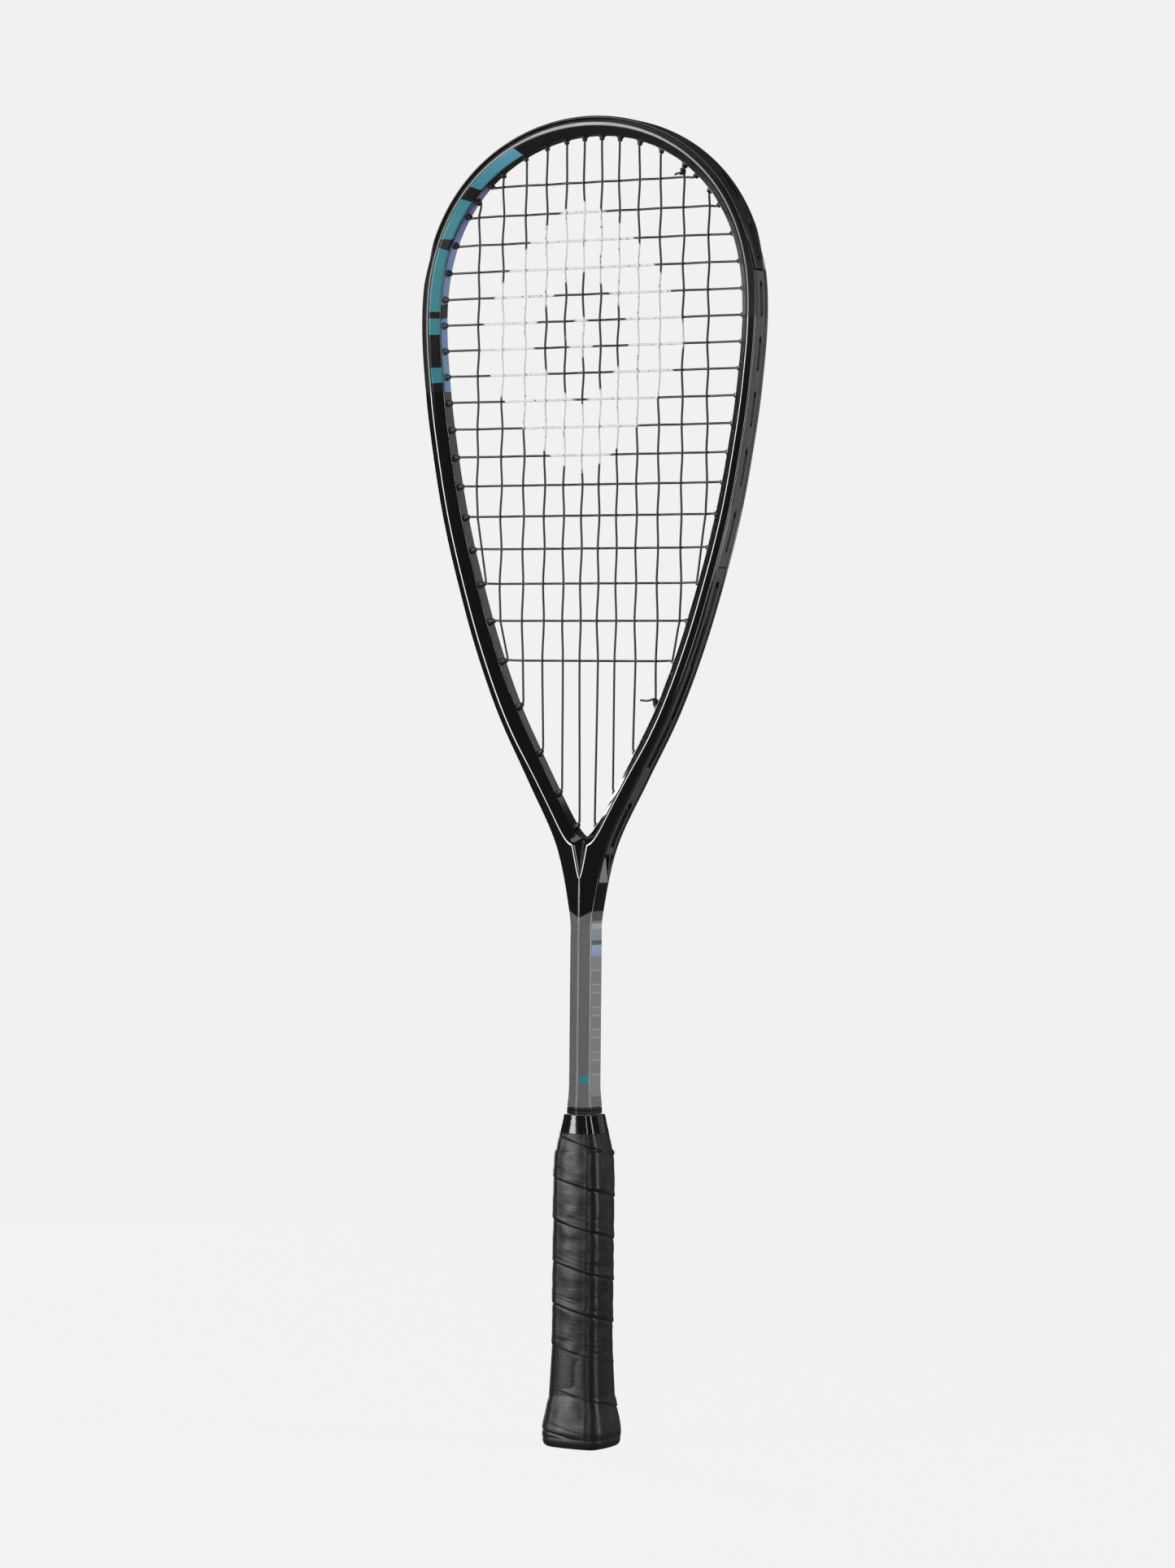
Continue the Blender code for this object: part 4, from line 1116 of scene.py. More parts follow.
@dataclass
class Grommets:
    """The head guard and the four grommet strips, with their barrels."""

    plan: HeadPlan
    pattern: StringPattern
    groove_height: float = 8.8 * MM
    groove_depth: float = 2.55 * MM
    channel_depth: float = 1.45 * MM
    shallow: float = 0.25 * MM
    flange: float = 1.2 * MM
    guard_height: float = 13.8 * MM
    tongue: float = 22.0 * MM
    barrel_wall: float = 0.6 * MM
    stub: float = 2.4 * MM
    collar_proud: float = 0.7 * MM
    spacing: float = 1.2 * MM
    slot_margin: float = 2.4 * MM

    def __post_init__(self) -> None:
        """Works out the widths that follow from the string."""
        self.half = self.groove_height / 2 - self.plan.clearance
        self.narrow = self.plan.string_diameter / 2 + 0.45 * MM
        self.wide = self.narrow + self.pattern.lane
        self.spans = self.pattern.loops()

    def channel(self, reach: float) -> float:
        """The string channel's depth at a signed reach: deep under a loop of string, shallow between."""
        ease = 1.4 * MM
        deep = max(
            min((reach - low + self.slot_margin) / ease, (high + self.slot_margin - reach) / ease)
            for low, high in self.spans
        )
        share = min(max(deep, 0.0), 1.0)
        return self.shallow + (self.channel_depth - self.shallow) * share * share * (3 - 2 * share)

    def outline(self, reach: float, half: Sequence[tuple[float, float]], cuts: Sequence[float]):
        """A closed outline on the outer face at a signed reach, from its front half's depths and widths."""
        sign = 1 if reach >= 0 else -1
        point, normal = self.plan.outer.at(abs(reach)), self.plan.outer.normal(abs(reach))
        corners = []
        for depth, y in [*((depth, -y) for depth, y in half), *reversed(half)]:
            x, z = point - normal * depth
            corners.append(Vector((x * sign, y, z)))
        return rounded_ring(corners, [*cuts, *reversed(cuts)], 2, 0.2 * MM)

    def guard_ring(self, reach: float) -> list[tuple[Vector, float]]:
        """The head guard's outline: grooved flanges over the frame, a channel between rails."""
        share = min(max((self.pattern.bumper_end - abs(reach)) / self.tongue, 0.0), 1.0)
        edge = self.half + 0.05 * MM + (self.guard_height / 2 - self.half) * share
        chamfer = min(1.1 * MM, (edge - self.wide) / 3)
        line = self.wide + (edge - chamfer - self.wide) * 0.42
        half = (
            (self.groove_depth - self.plan.clearance, self.half),
            (self.flange, self.half),
            (self.flange, edge),
            (0.45 * MM, edge),
            (0.0, edge - chamfer),
            (0.0, line + 0.4 * MM),
            (0.35 * MM, line + 0.12 * MM),
            (0.35 * MM, line - 0.12 * MM),
            (0.0, line - 0.4 * MM),
            (0.0, self.wide),
            (self.channel(reach), self.wide - 0.15 * MM),
        )
        cuts = [value * MM for value in (0.1, 0.1, 0.2, 0.3, 0.4, 0.15, 0.1, 0.1, 0.15, 0.3, 0.3)]
        return self.outline(reach, half, cuts)

    def strip_ring(self, reach: float, channel: float) -> list[tuple[Vector, float]]:
        """A grommet strip's outline: rails beside the string's channel."""
        face = 0.15 * MM
        half = (
            (self.groove_depth - self.plan.clearance, self.half),
            (face, self.half),
            (face, channel + 0.1 * MM),
            (face + self.channel(reach), channel - 0.1 * MM),
        )
        cuts = [value * MM for value in (0.1, 0.35, 0.25, 0.25)]
        return self.outline(reach, half, cuts)

    def barrel(self, hole: Hole) -> bmesh.types.BMesh:
        """The barrel through the frame, its collar on the inner wall and its open mouth."""
        bore = self.plan.string_diameter / 2 + 0.2 * MM
        radius = bore + self.barrel_wall
        end = hole.length() - self.channel_depth
        profile = (
            (0.0, end), (radius, end), (radius, 0.6 * MM), (radius + 0.55 * MM, 0.5 * MM),
            (radius + 0.6 * MM, -self.collar_proud + 0.15 * MM), (radius + 0.4 * MM, -self.collar_proud),
            (radius, -self.collar_proud - 0.1 * MM), (radius - 0.08 * MM, -self.stub + 0.2 * MM),
            (radius - 0.25 * MM, -self.stub), (bore, -self.stub), (bore, 0.5 * MM), (0.0, 0.5 * MM),
        )
        return lathe(profile, 14, hole.point(0.0), hole.axis(), self.pattern.lane if hole.wide else 0.0)

    def band(self, name: str, start: float, end: float, ring: Callable, holes: Iterable[Hole], corners: int,
             finish: bpy.types.Material, slot: str) -> bpy.types.Object:
        """A swept band with its barrels.

        Args:
            name: The model's node, which gives the piece its name.
            start: Its first signed reach.
            end: Its last signed reach.
            ring: Gives its outline at a signed reach.
            holes: The holes whose barrels it holds.
            corners: Corners in its outline.
            finish: Its material.
            slot: The record's material slot.

        Returns:
            The piece.
        """
        count = math.ceil(abs(end - start) / self.spacing)
        reaches = list(np.linspace(start, end, count + 1))
        body = swept([ring(reach) for reach in reaches], reaches, corners)
        fill_ends(body)
        whole = join([body, *(self.barrel(hole) for hole in dict.fromkeys(holes))])
        return add_piece(name + "_moulding", whole, [finish], slot, name)

    def build(self) -> list[bpy.types.Object]:
        """Makes the head guard and the strips.

        Returns:
            The pieces.
        """
        guard_nylon = MouldedNylon("grained_guard_nylon", "#161719", 0.46).material()
        pattern, gap = self.pattern, self.plan.clearance
        # Painted shade: the grommet strips' channel floor and walls are painted near-black along each stretch
        # that holds string, for the shade deep in the slot.
        painted_slot_shade = tuple(
            Mark("#050506", low - 1.4 * MM, high + 1.4 * MM, (0.262, 0.612))
            for low, high in self.spans if min(abs(low), abs(high)) > pattern.bumper_end
        )
        strip_nylon = MouldedNylon("smooth_grommet_nylon", "#4E4F52", 0.34, painted_shade_marks=painted_slot_shade).material()
        names = [(End.CROWN, place) for place in range(pattern.half_mains)]
        names += [("cross", number) for number in range(1, pattern.bumper_crosses + 1)]
        holes = [pattern.holes[side][name] for side in Side for name in names]
        end = pattern.bumper_end - gap
        guard = self.band("bumper_guard", -end, end, self.guard_ring, holes, 22, guard_nylon, "bumper_nylon")
        pieces = [guard]
        first, second = pattern.bumper_crosses + 1, pattern.side_crosses + 1
        side_names = [("cross", number) for number in range(first, second)]
        throat_names = [("cross", number) for number in range(second, pattern.crosses + 1)]
        throat_names += [(End.THROAT, place) for place in range(pattern.half_mains)]
        last = pattern.holes[Side.RIGHT][End.THROAT, 0].reach + 5.0 * MM
        for side in Side:
            sign, label = side.value, side.name.lower()
            for kind, channel, start, stop, names in (
                ("side", self.narrow, pattern.bumper_end + 2 * gap, pattern.side_end - gap, side_names),
                ("throat", self.wide, pattern.side_end + gap, last, throat_names),
            ):
                pieces.append(
                    self.band(
                        f"{kind}_grommet_strip_{label}", sign * start, sign * stop,
                        lambda reach, channel=channel: self.strip_ring(reach, channel),
                        [pattern.holes[side][name] for name in names], 8, strip_nylon, "grommet_nylon",
                    )
                )
        return pieces


# ---------------------------------------------------------------- string bed


@dataclass(frozen=True)
class StringCoating:
    """Coated multifilament: faint filament ridges under a smooth film, with a sprayed white stencil."""

    name: str = "coated_multifilament_string"
    colour: str = "#1E1F21"
    ink: str = "#F2F3F4"
    centre_x: float = -6.0 * MM
    centre_z: float = 573.0 * MM
    half_width: float = 62.0 * MM
    half_height: float = 70.0 * MM
    bulge: float = 1.4

    def material(self) -> bpy.types.Material:
        """The finish, with a plain diamond ring and dot stencilled across the bed.

        Returns:
            The material.
        """
        material, tree, shader = new_material(self.name)
        where = add_node(tree, "ShaderNodeTexCoord").outputs["Object"]
        split = add_node(tree, "ShaderNodeSeparateXYZ", None, {"Vector": where})
        shares = []
        placed = (("X", self.centre_x, self.half_width), ("Z", self.centre_z, self.half_height))
        for axis, centre, half in placed:
            size = combine(tree, "DIVIDE", combine(tree, "SUBTRACT", split.outputs[axis], centre), half)
            shares.append(combine(tree, "POWER", combine(tree, "ABSOLUTE", size, 0.5), self.bulge))
        spread = combine(tree, "ADD", *shares)
        ring = step_between(tree, spread, 0.36, 1.0, 0.02)
        dot = step_between(tree, spread, -1.0, 0.07, 0.02)
        # The sprayed ink misses small flecks, about a millimetre across.
        worn = ranged(tree, noisy(tree, where, 700.0, 2.0), 0.30, 0.38)
        cover = combine(tree, "MULTIPLY", combine(tree, "MAXIMUM", ring, dot), worn)
        colour = mixed(tree, cover, linear(self.colour), linear(self.ink))
        rough = ranged(tree, cover, 0.0, 1.0, 0.34, 0.7)
        dress(shader, colour, rough, bumped(tree, noisy(tree, where, 2200.0, 1.0), 0.2, 0.04 * MM))
        return material


@dataclass
class StringBed:
    """One length of string, woven, looped round the frame and tied off twice."""

    plan: HeadPlan
    pattern: StringPattern
    weave: float = 0.62 * MM
    wander: float = 0.35 * MM
    crossing_points: int = 6
    corner: float = 1.6 * MM
    lane_change: float = 4.0 * MM
    sides: int = 8
    stub: float = 3.0 * MM
    knot_pitch: float = 1.25 * MM

    def __post_init__(self) -> None:
        """Starts the route."""
        self.points: list[Vector] = []

    def bend(self, hole: Hole, y: float) -> Vector:
        """Where the string leaves a barrel for its place in the bed."""
        return hole.point(-self.stub, y)

    def enter(self, hole: Hole, y: float) -> None:
        """Into the bed through a hole."""
        self.points += [hole.mouth(y), self.bend(hole, y)]

    def run(self, first: Hole, first_y: float, last: Hole, last_y: float, lane: float = 0.0) -> None:
        """From one hole's mouth to the next in the channel, keeping to a lane.

        Args:
            first: The hole that the string comes from.
            first_y: Its place in that hole.
            last: The hole that it goes to.
            last_y: Its place in that hole.
            lane: Its place in the channel between them.
        """
        side = last.side.value
        start, end = first.reach * first.side.value * side, last.reach
        length = abs(end - start)
        ease = min(self.lane_change, length / 2)
        from_first = ease if first_y != lane else 0.0
        to_last = length - (ease if last_y != lane else 0.0)
        steps = max(1, math.ceil((to_last - from_first) / (2.5 * MM)))
        for distance in np.linspace(from_first, to_last, steps + 1):
            if distance in (0.0, length):
                continue
            reach = start + math.copysign(distance, end - start)
            x, z = self.plan.channel.at(abs(reach))
            self.points.append(Vector((math.copysign(x, reach) * side, lane, z)))

    def over(self, place: int, side: Side, number: int) -> float:
        """Where a main passes a cross: in front (negative) or behind."""
        odd = (place + (0 if side is Side.RIGHT else 1) + number) % 2
        return self.weave if odd else -self.weave

    def woven(self, controls: Sequence[Vector]) -> None:
        """Adds a run through its crossings, level at each and eased between."""
        for start, end in zip(controls, controls[1:]):
            for step in range(1, self.crossing_points + 1):
                t = step / self.crossing_points
                ease = t * t * (3 - 2 * t)
                point = start.lerp(end, t)
                point.y = start.y + (end.y - start.y) * ease
                self.points.append(point)

    def drift(self, place: int, number: int) -> float:
        """How far a main lies out of line at a cross, where the crosses pull it."""
        return self.wander * noise.noise(Vector((place * 7.3 + 0.5, number * 0.83 + 0.2, 3.1)))

    def main(self, place: int, side: Side, down: bool, top_y: float, bottom_y: float) -> None:
        """One main, woven through the crosses that reach it.

        Args:
            place: Its place from the middle.
            side: Its side of the head.
            down: Whether the string runs down it.
            top_y: Its place in its crown hole.
            bottom_y: Its place in its throat hole.
        """
        x = self.pattern.main_x(place)
        holes = self.pattern.holes[side]
        top, bottom = holes[End.CROWN, place], holes[End.THROAT, place]
        start, end = self.bend(top, top_y), self.bend(bottom, bottom_y)
        controls = [start]
        for number, height in enumerate(self.pattern.cross_z, 1):
            reached = x < abs(self.bend(holes["cross", number], 0.0).x) and holes["cross", number] != bottom
            if reached and end.z + 2 * MM < height < start.z - 2 * MM:
                shift = self.drift(place * side.value, number)
                controls.append(Vector((x * side.value + shift, self.over(place, side, number), height)))
        controls.append(end)
        self.woven(controls if down else controls[::-1])

    def cross(self, number: int, first: Side, y: float) -> None:
        """One cross, from a side's hole through every main that reaches it.

        Args:
            number: The cross, from the crown down.
            first: The side that it starts from.
            y: Its place in both its holes.
        """
        last = Side.LEFT if first is Side.RIGHT else Side.RIGHT
        height = self.pattern.cross_z[number - 1]
        start, end = (self.bend(self.pattern.holes[side]["cross", number], y) for side in (first, last))
        controls = []
        for side in Side:
            holes = self.pattern.holes[side]
            for place in range(self.pattern.half_mains):
                x = self.pattern.main_x(place)
                top = self.bend(holes[End.CROWN, place], 0.0).z
                bottom = self.bend(holes[End.THROAT, place], 0.0).z
                if x < abs(start.x) - 2 * MM and bottom + 2 * MM < height < top - 2 * MM:
                    controls.append(Vector((x * side.value, -self.over(place, side, number), height)))
        controls.sort(key=lambda point: -first.value * point.x)
        self.woven([start, *controls, end])

    def hitch(
        self, hole: Hole, main_y: float, own_y: float, tail: Vector, turns: float = 2.2
    ) -> list[Vector]:
        """A hitch round the main at a shared hole, from its trimmed tail to the hole.

        Args:
            hole: The hole that the string goes through.
            main_y: Where the main lies in it.
            own_y: Where the string itself lies in it.
            tail: The tail's free end, from the knot's middle.
            turns: Turns round the main.

        Returns:
            The points from the tail to the barrel.
        """
        outward = math.copysign(1.0, hole.axis().z)
        middle = self.bend(hole, main_y) - Vector((0.0, 0.0, 1.6 * MM * outward))
        radius = self.plan.string_diameter * 0.98
        points = [middle + tail, middle + tail * 0.45 + Vector((0.0, -0.9 * MM, 0.0))]
        steps = 20
        for step in range(steps + 1):
            share = step / steps
            turn = math.pi * 1.1 + share * turns * 2 * math.pi
            rise = (share - 0.5) * turns * self.knot_pitch * outward
            points.append(middle + Vector((radius * math.sin(turn), radius * math.cos(turn), rise)))
        return [*points, self.bend(hole, own_y)]

    def route(self) -> list[Vector]:
        """The whole route: mains from right to left, then crosses from the crown down.

        Returns:
            Its points.
        """
        pattern = self.pattern
        lane, outermost = pattern.lane, pattern.half_mains - 1
        right, left = pattern.holes[Side.RIGHT], pattern.holes[Side.LEFT]
        low = pattern.low_crosses[0]

        def end_y(end: End, place: int) -> float:
            if end is End.CROWN:
                return {pattern.tie_off_main: -lane, outermost: lane}.get(place, 0.0)
            return lane if place >= pattern.end_tie_main else 0.0

        def cross_y(number: int) -> float:
            return -lane if number == 1 or number >= low else 0.0

        tie, outer_top = right[End.CROWN, pattern.tie_off_main], right[End.CROWN, outermost]
        self.points = self.hitch(tie, -lane, lane, Vector((-4.2, -0.8, -1.4)) * MM)
        self.points.append(tie.mouth(lane))
        self.run(tie, lane, outer_top, end_y(End.CROWN, outermost), lane)
        mains = [(place, Side.RIGHT) for place in reversed(range(pattern.half_mains))]
        mains += [(place, Side.LEFT) for place in range(pattern.half_mains)]
        for number, (place, side) in enumerate(mains):
            down = number % 2 == 0
            first, last = (End.CROWN, End.THROAT) if down else (End.THROAT, End.CROWN)
            holes = pattern.holes[side]
            self.enter(holes[first, place], end_y(first, place))
            self.main(place, side, down, end_y(End.CROWN, place), end_y(End.THROAT, place))
            self.points.append(holes[last, place].mouth(end_y(last, place)))
            if number + 1 < len(mains):
                next_place, next_side = mains[number + 1]
                onward = pattern.holes[next_side][last, next_place]
                path_lane = lane if down and outermost in (place, next_place) else 0.0
                self.run(holes[last, place], end_y(last, place), onward, end_y(last, next_place), path_lane)
        self.run(left[End.CROWN, outermost], end_y(End.CROWN, outermost), left["cross", 1], cross_y(1))
        for number in range(1, pattern.crosses + 1):
            y = cross_y(number)
            first, last = (Side.LEFT, Side.RIGHT) if number % 2 else (Side.RIGHT, Side.LEFT)
            self.enter(pattern.holes[first]["cross", number], y)
            self.cross(number, first, y)
            out = pattern.holes[last]
            self.points.append(out["cross", number].mouth(y))
            if number < pattern.crosses:
                path_lane = -lane if number == 1 or number >= low else 0.0
                self.run(out["cross", number], y, out["cross", number + 1], cross_y(number + 1), path_lane)
        end = right[End.THROAT, pattern.end_tie_main]
        self.run(right["cross", pattern.crosses], -lane, end, -lane, -lane)
        self.points.append(end.mouth(-lane))
        self.points += reversed(self.hitch(end, lane, -lane, Vector((-8.5, -0.6, 0.6)) * MM))
        return self.points

    def rounded(self, points: Sequence[Vector]) -> list[Vector]:
        """The route with its sharp corners rounded, and no two points on one spot."""
        clean = [points[0]]
        for point in points[1:]:
            if (point - clean[-1]).length > 0.08 * MM:
                clean.append(point)
        path = [clean[0]]
        for before, corner, after in zip(clean, clean[1:], clean[2:]):
            back, on = before - corner, after - corner
            if math.pi - back.angle(on) < math.radians(14):
                path.append(corner)
                continue
            start = corner + back.normalized() * min(self.corner, 0.48 * back.length)
            end = corner + on.normalized() * min(self.corner, 0.48 * on.length)
            for step in range(6):
                t = step / 5
                path.append(start * (1 - t) ** 2 + corner * (2 * t * (1 - t)) + end * t**2)
        return [*path, clean[-1]]

    def build(self) -> bpy.types.Object:
        """Makes the string.

        Returns:
            The piece.
        """
        path = self.rounded(self.route())
        bm = tube(path, self.plan.string_diameter / 2, self.sides)
        return add_piece("woven_string", bm, [StringCoating().material()], "string_nylon", "string", sharp=70)


# ---------------------------------------------------------------- handle


@dataclass(frozen=True)
class SoftPolyurethane:
    """Tacky polyurethane over felt: a fine leather grain, soft sheen, small stretch wrinkles."""

    name: str = "tacky_polyurethane_grip"
    dark: str = "#0E0E10"
    light: str = "#19191B"
    grain: float = 0.9 * MM

    def material(self) -> bpy.types.Material:
        """The finish.

        Returns:
            The material.
        """
        material, tree, shader = new_material(self.name)
        where = add_node(tree, "ShaderNodeTexCoord").outputs["Object"]
        grain = add_node(tree, "ShaderNodeTexVoronoi", {"Scale": 1 / self.grain}, {"Vector": where})
        mottle = noisy(tree, where, 110.0, 4.0)
        stretch = add_node(tree, "ShaderNodeMapping", {"Scale": (60.0, 60.0, 420.0)}, {"Vector": where})
        wrinkle = noisy(tree, stretch.outputs["Vector"], 1.0, 3.0, 0.6)
        fine = bumped(tree, grain.outputs["Distance"], 0.22, 0.06 * MM)
        tone = toned(tree, mottle, linear(self.dark), linear(self.light), 0.25, 0.75)
        rough = ranged(tree, mottle, 0.3, 0.7, 0.32, 0.44)
        dress(shader, tone, rough, bumped(tree, wrinkle, 0.35, 0.25 * MM, fine))
        shader.inputs["Sheen Weight"].default_value = 0.06
        return material


@dataclass(frozen=True)
class PlainPolymer:
    """A moulded, foamed or stretched polymer whose look is its colour, gloss and a little unevenness."""

    name: str
    colour: str
    roughness: float
    grain: float
    depth: float
    coat: float = 0.0
    metallic: float = 0.0

    def material(self) -> bpy.types.Material:
        """The finish.

        Returns:
            The material.
        """
        material, tree, shader = new_material(self.name)
        where = add_node(tree, "ShaderNodeTexCoord").outputs["Object"]
        uneven = noisy(tree, where, 1 / self.grain, 3.0)
        low, high = ((*(share * c for c in linear(self.colour)[:3]), 1.0) for share in (0.85, 1.15))
        rough = ranged(tree, uneven, 0.3, 0.7, self.roughness * 0.85, self.roughness * 1.15)
        dress(shader, toned(tree, uneven, low, high), rough, bumped(tree, uneven, 0.3, self.depth))
        shader.inputs["Coat Weight"].default_value = self.coat
        shader.inputs["Metallic"].default_value = self.metallic
        return material


@dataclass
class Handle:
    """The collar, the finishing tape, the wound grip and the butt cap."""

    plan: HeadPlan
    width: float = 28.0 * MM
    depth: float = 25.0 * MM
    corner: float = 6.5 * MM
    smallest_corner: float = 1.5 * MM
    shaft_side_height: float = 10.4 * MM
    grip_thickness: float = 1.8 * MM
    tape_length: float = 10.0 * MM
    tape_overlap: float = 2.0 * MM
    collar_length: float = 3.6 * MM
    cap_floor: float = 4.0 * MM
    seam_pitch: float = 21.7 * MM
    seam_height: float = 33.6 * MM
    grip_bottom: float = 5.6 * MM
    crowning: float = 0.7 * MM
    shape: tuple[tuple[float, float, float], ...] = (
        (0.0, 1.22, 1.22),
        (0.05, 1.285, 1.285),
        (0.13, 1.135, 1.135),
        (0.24, 1.0, 1.0),
        (0.80, 1.0, 1.0),
        (0.88, 0.89, 0.93),
        (0.955, 0.67, 0.81),
        (1.0, 0.57, 0.76),
    )

    def __post_init__(self) -> None:
        """Works out the swell and where the tape lies."""
        length = self.plan.handle_length
        self.curves = [
            smooth_curve([(row[number], row[0] * length) for row in self.shape], 8) for number in (1, 2)
        ]
        self.tape_bottom = length - self.collar_length - self.tape_length
        self.tape_top = length - self.collar_length - 2 * self.plan.clearance
        self.grip_top = self.tape_bottom + self.tape_overlap

    def size(self, height: float) -> tuple[float, float]:
        """The handle's width and depth at a height, against its straight part."""
        width, depth = (float(np.interp(height, curve[:, 1], curve[:, 0])) for curve in self.curves)
        return width, depth

    def point(self, turn: float, height: float, grown: float, size_height: float | None = None) -> Vector:
        """A point on the handle's rounded section.

        Args:
            turn: Share of the way round, from the left over the front to the right and back.
            height: The point's height.
            grown: How far outside the grip's surface it lies.
            size_height: The height whose size it takes, if not its own.

        Returns:
            The point.
        """
        width, depth = self.size(height if size_height is None else size_height)
        half_x, half_y = self.width / 2 * width + grown, self.depth / 2 * depth + grown
        radius = min(max(self.corner * width + grown, self.smallest_corner), half_x, half_y)
        flat_x, flat_y, arc = half_x - radius, half_y - radius, radius * math.pi / 2
        legs = (flat_y, arc, 2 * flat_x, arc, 2 * flat_y, arc, 2 * flat_x, arc, flat_y)
        left = (turn % 1.0) * sum(legs)
        corners = {1: (-1, -1), 3: (1, -1), 5: (1, 1), 7: (-1, 1)}
        for number, leg in enumerate(legs):
            if left <= leg or number == 8:
                break
            left -= leg
        if number in corners:
            sx, sy = corners[number]
            angle = math.pi + math.pi / 2 * (number // 2) + left / radius
            x, y = sx * flat_x + radius * math.cos(angle), sy * flat_y + radius * math.sin(angle)
            return Vector((x, y, height))
        crown = self.crowning * (1 - (2 * left / leg - 1) ** 2) if leg > 0 and number not in (0, 8) else 0.0
        if number in (0, 8):
            along = left / leg if leg > 0 else 0.0
            crown = self.crowning * (1 - along**2 if number == 0 else 1 - (1 - along) ** 2)
            return Vector((-half_x - crown, -left if number == 0 else flat_y - left, height))
        return {
            2: Vector((-flat_x + left, -half_y - crown, height)),
            4: Vector((half_x + crown, -flat_y + left, height)),
            6: Vector((flat_x - left, half_y + crown, height)),
        }[number]

    def cushion(self, turn: float, height: float) -> float:
        """How far the wound strip stands out here: lapped edges at its seams, soft wrinkles above them."""
        above = ((height - self.seam_height) / self.seam_pitch + turn) % 1.0 * self.seam_pitch
        below = self.seam_pitch - above
        groove = -0.4 * MM * math.exp(-((min(above, below) / (0.55 * MM)) ** 2))
        lap = 0.40 * MM * math.exp(-above / (5.0 * MM)) - 0.15 * MM * math.exp(-below / (4.0 * MM))
        ripple = noise.noise(Vector((turn * 9.0, above / (1.5 * MM), height / (9.0 * MM))))
        around = 2 * math.pi * turn
        dent = noise.noise(Vector((1.9 * math.cos(around), 1.9 * math.sin(around), height / (6.0 * MM))))
        return groove + lap + 0.22 * MM * ripple * math.exp(-above / (7.0 * MM)) + 0.26 * MM * dent - 0.2 * MM

    def sleeve(self, columns: int, rows: int, bottom: float, top: float, outside: Callable, inset: float,
               lean: float = 0.0) -> bmesh.types.BMesh:
        """A closed sleeve round the handle.

        Args:
            columns: Faces round it.
            rows: Faces up it.
            bottom: Its bottom.
            top: Its top.
            outside: Gives how far it stands out at a turn and a height.
            inset: Its inner wall's distance in from the handle's surface.
            lean: How far its rows of faces fall in one turn, so that they follow a seam.

        Returns:
            The bmesh.
        """
        span = top - bottom + lean

        def place(u: float, v: float) -> Vector:
            height = bottom + v * span - lean * u
            kept = min(max(height, bottom - 2 * MM), top + 2 * MM)
            point = self.point(u, kept, outside(u, height))
            return Vector((point.x, point.y, height))

        bm = mapped_grid(columns, rows, place)
        for height, outward in ((bottom, -1.0), (top, 1.0)):
            cut = bm.verts[:] + bm.edges[:] + bm.faces[:]
            bmesh.ops.bisect_plane(
                bm, geom=cut, dist=1e-7, clear_outer=True,
                plane_co=(0.0, 0.0, height), plane_no=(0.0, 0.0, outward),
            )
        bmesh.ops.remove_doubles(bm, verts=bm.verts, dist=1e-6)
        loops = []
        for height in (bottom, top):
            edges = [
                edge for edge in bm.edges
                if edge.is_boundary and all(abs(vert.co.z - height) < 1e-5 for vert in edge.verts)
            ]
            made = bmesh.ops.extrude_edge_only(bm, edges=edges)["geom"]
            width, depth = self.size(height)
            full_x, full_y = self.width / 2 * width, self.depth / 2 * depth
            for vert in (item for item in made if isinstance(item, bmesh.types.BMVert)):
                vert.co.x *= 1 - inset / full_x
                vert.co.y *= 1 - inset / full_y
            loops += [item for item in made if isinstance(item, bmesh.types.BMEdge)]
        bmesh.ops.bridge_loops(bm, edges=[edge for edge in loops if edge.is_boundary])
        return bm

    def grip(self) -> bpy.types.Object:
        """The strip wound up the handle, lapped at each turn and thinned where the tape lies over it."""

        def outside(turn: float, height: float) -> float:
            under = 0.7 * MM if height > self.tape_bottom + 0.2 * MM else 0.0
            return self.cushion(turn, height) - under

        rows = round((self.grip_top - self.grip_bottom + self.seam_pitch) / self.seam_pitch * 46)
        bm = self.sleeve(
            112, rows, self.grip_bottom, self.grip_top, outside, self.grip_thickness, self.seam_pitch
        )
        finish = SoftPolyurethane().material()
        return add_piece("wound_grip", bm, [finish], "grip_leatherette", "grip", sharp=75)

    def tape(self) -> bpy.types.Object:
        """Vinyl tape wound two and a bit turns over the grip's end, each turn a little off the last."""
        turns, thick = 2.3, 0.14 * MM
        bottom, width = self.tape_bottom + 0.1 * MM, self.tape_length - 0.9 * MM

        def place(u: float, v: float) -> Vector:
            turn = u * turns
            height = bottom + width * v + (0.35 * MM if turn > 1 else 0.0) * min(turn - 1, 1.0)
            puckered = noise.noise(Vector((turn * 14.0, v * 6.0, 0.0))) * 0.10 * MM
            lip = 0.35 * MM * math.exp(-(((turn % 1.0) - 0.52) / 0.05) ** 2) * v**6
            grown = -0.45 * MM + 0.17 * MM * turn + puckered * v + lip
            return self.point(0.3 + turn, min(height, self.tape_top), grown)

        bm = mapped_grid(300, 24, place)
        bmesh.ops.solidify(bm, geom=bm.faces[:], thickness=thick)
        finish = PlainPolymer("stretched_vinyl_tape", "#0B0B0D", 0.14, 3.0 * MM, 0.08 * MM, 0.6)
        return add_piece("finishing_tape_winding", bm, [finish.material()], "vinyl_tape", "finishing_tape")

    def collar(self) -> bpy.types.Object:
        """The moulded ring round the shaft, six-sided like it, with rounded edges."""
        slope = (self.plan.beam - self.shaft_side_height) / self.plan.shaft_width
        bottom = self.plan.handle_length - self.collar_length
        height = self.collar_length - self.plan.clearance

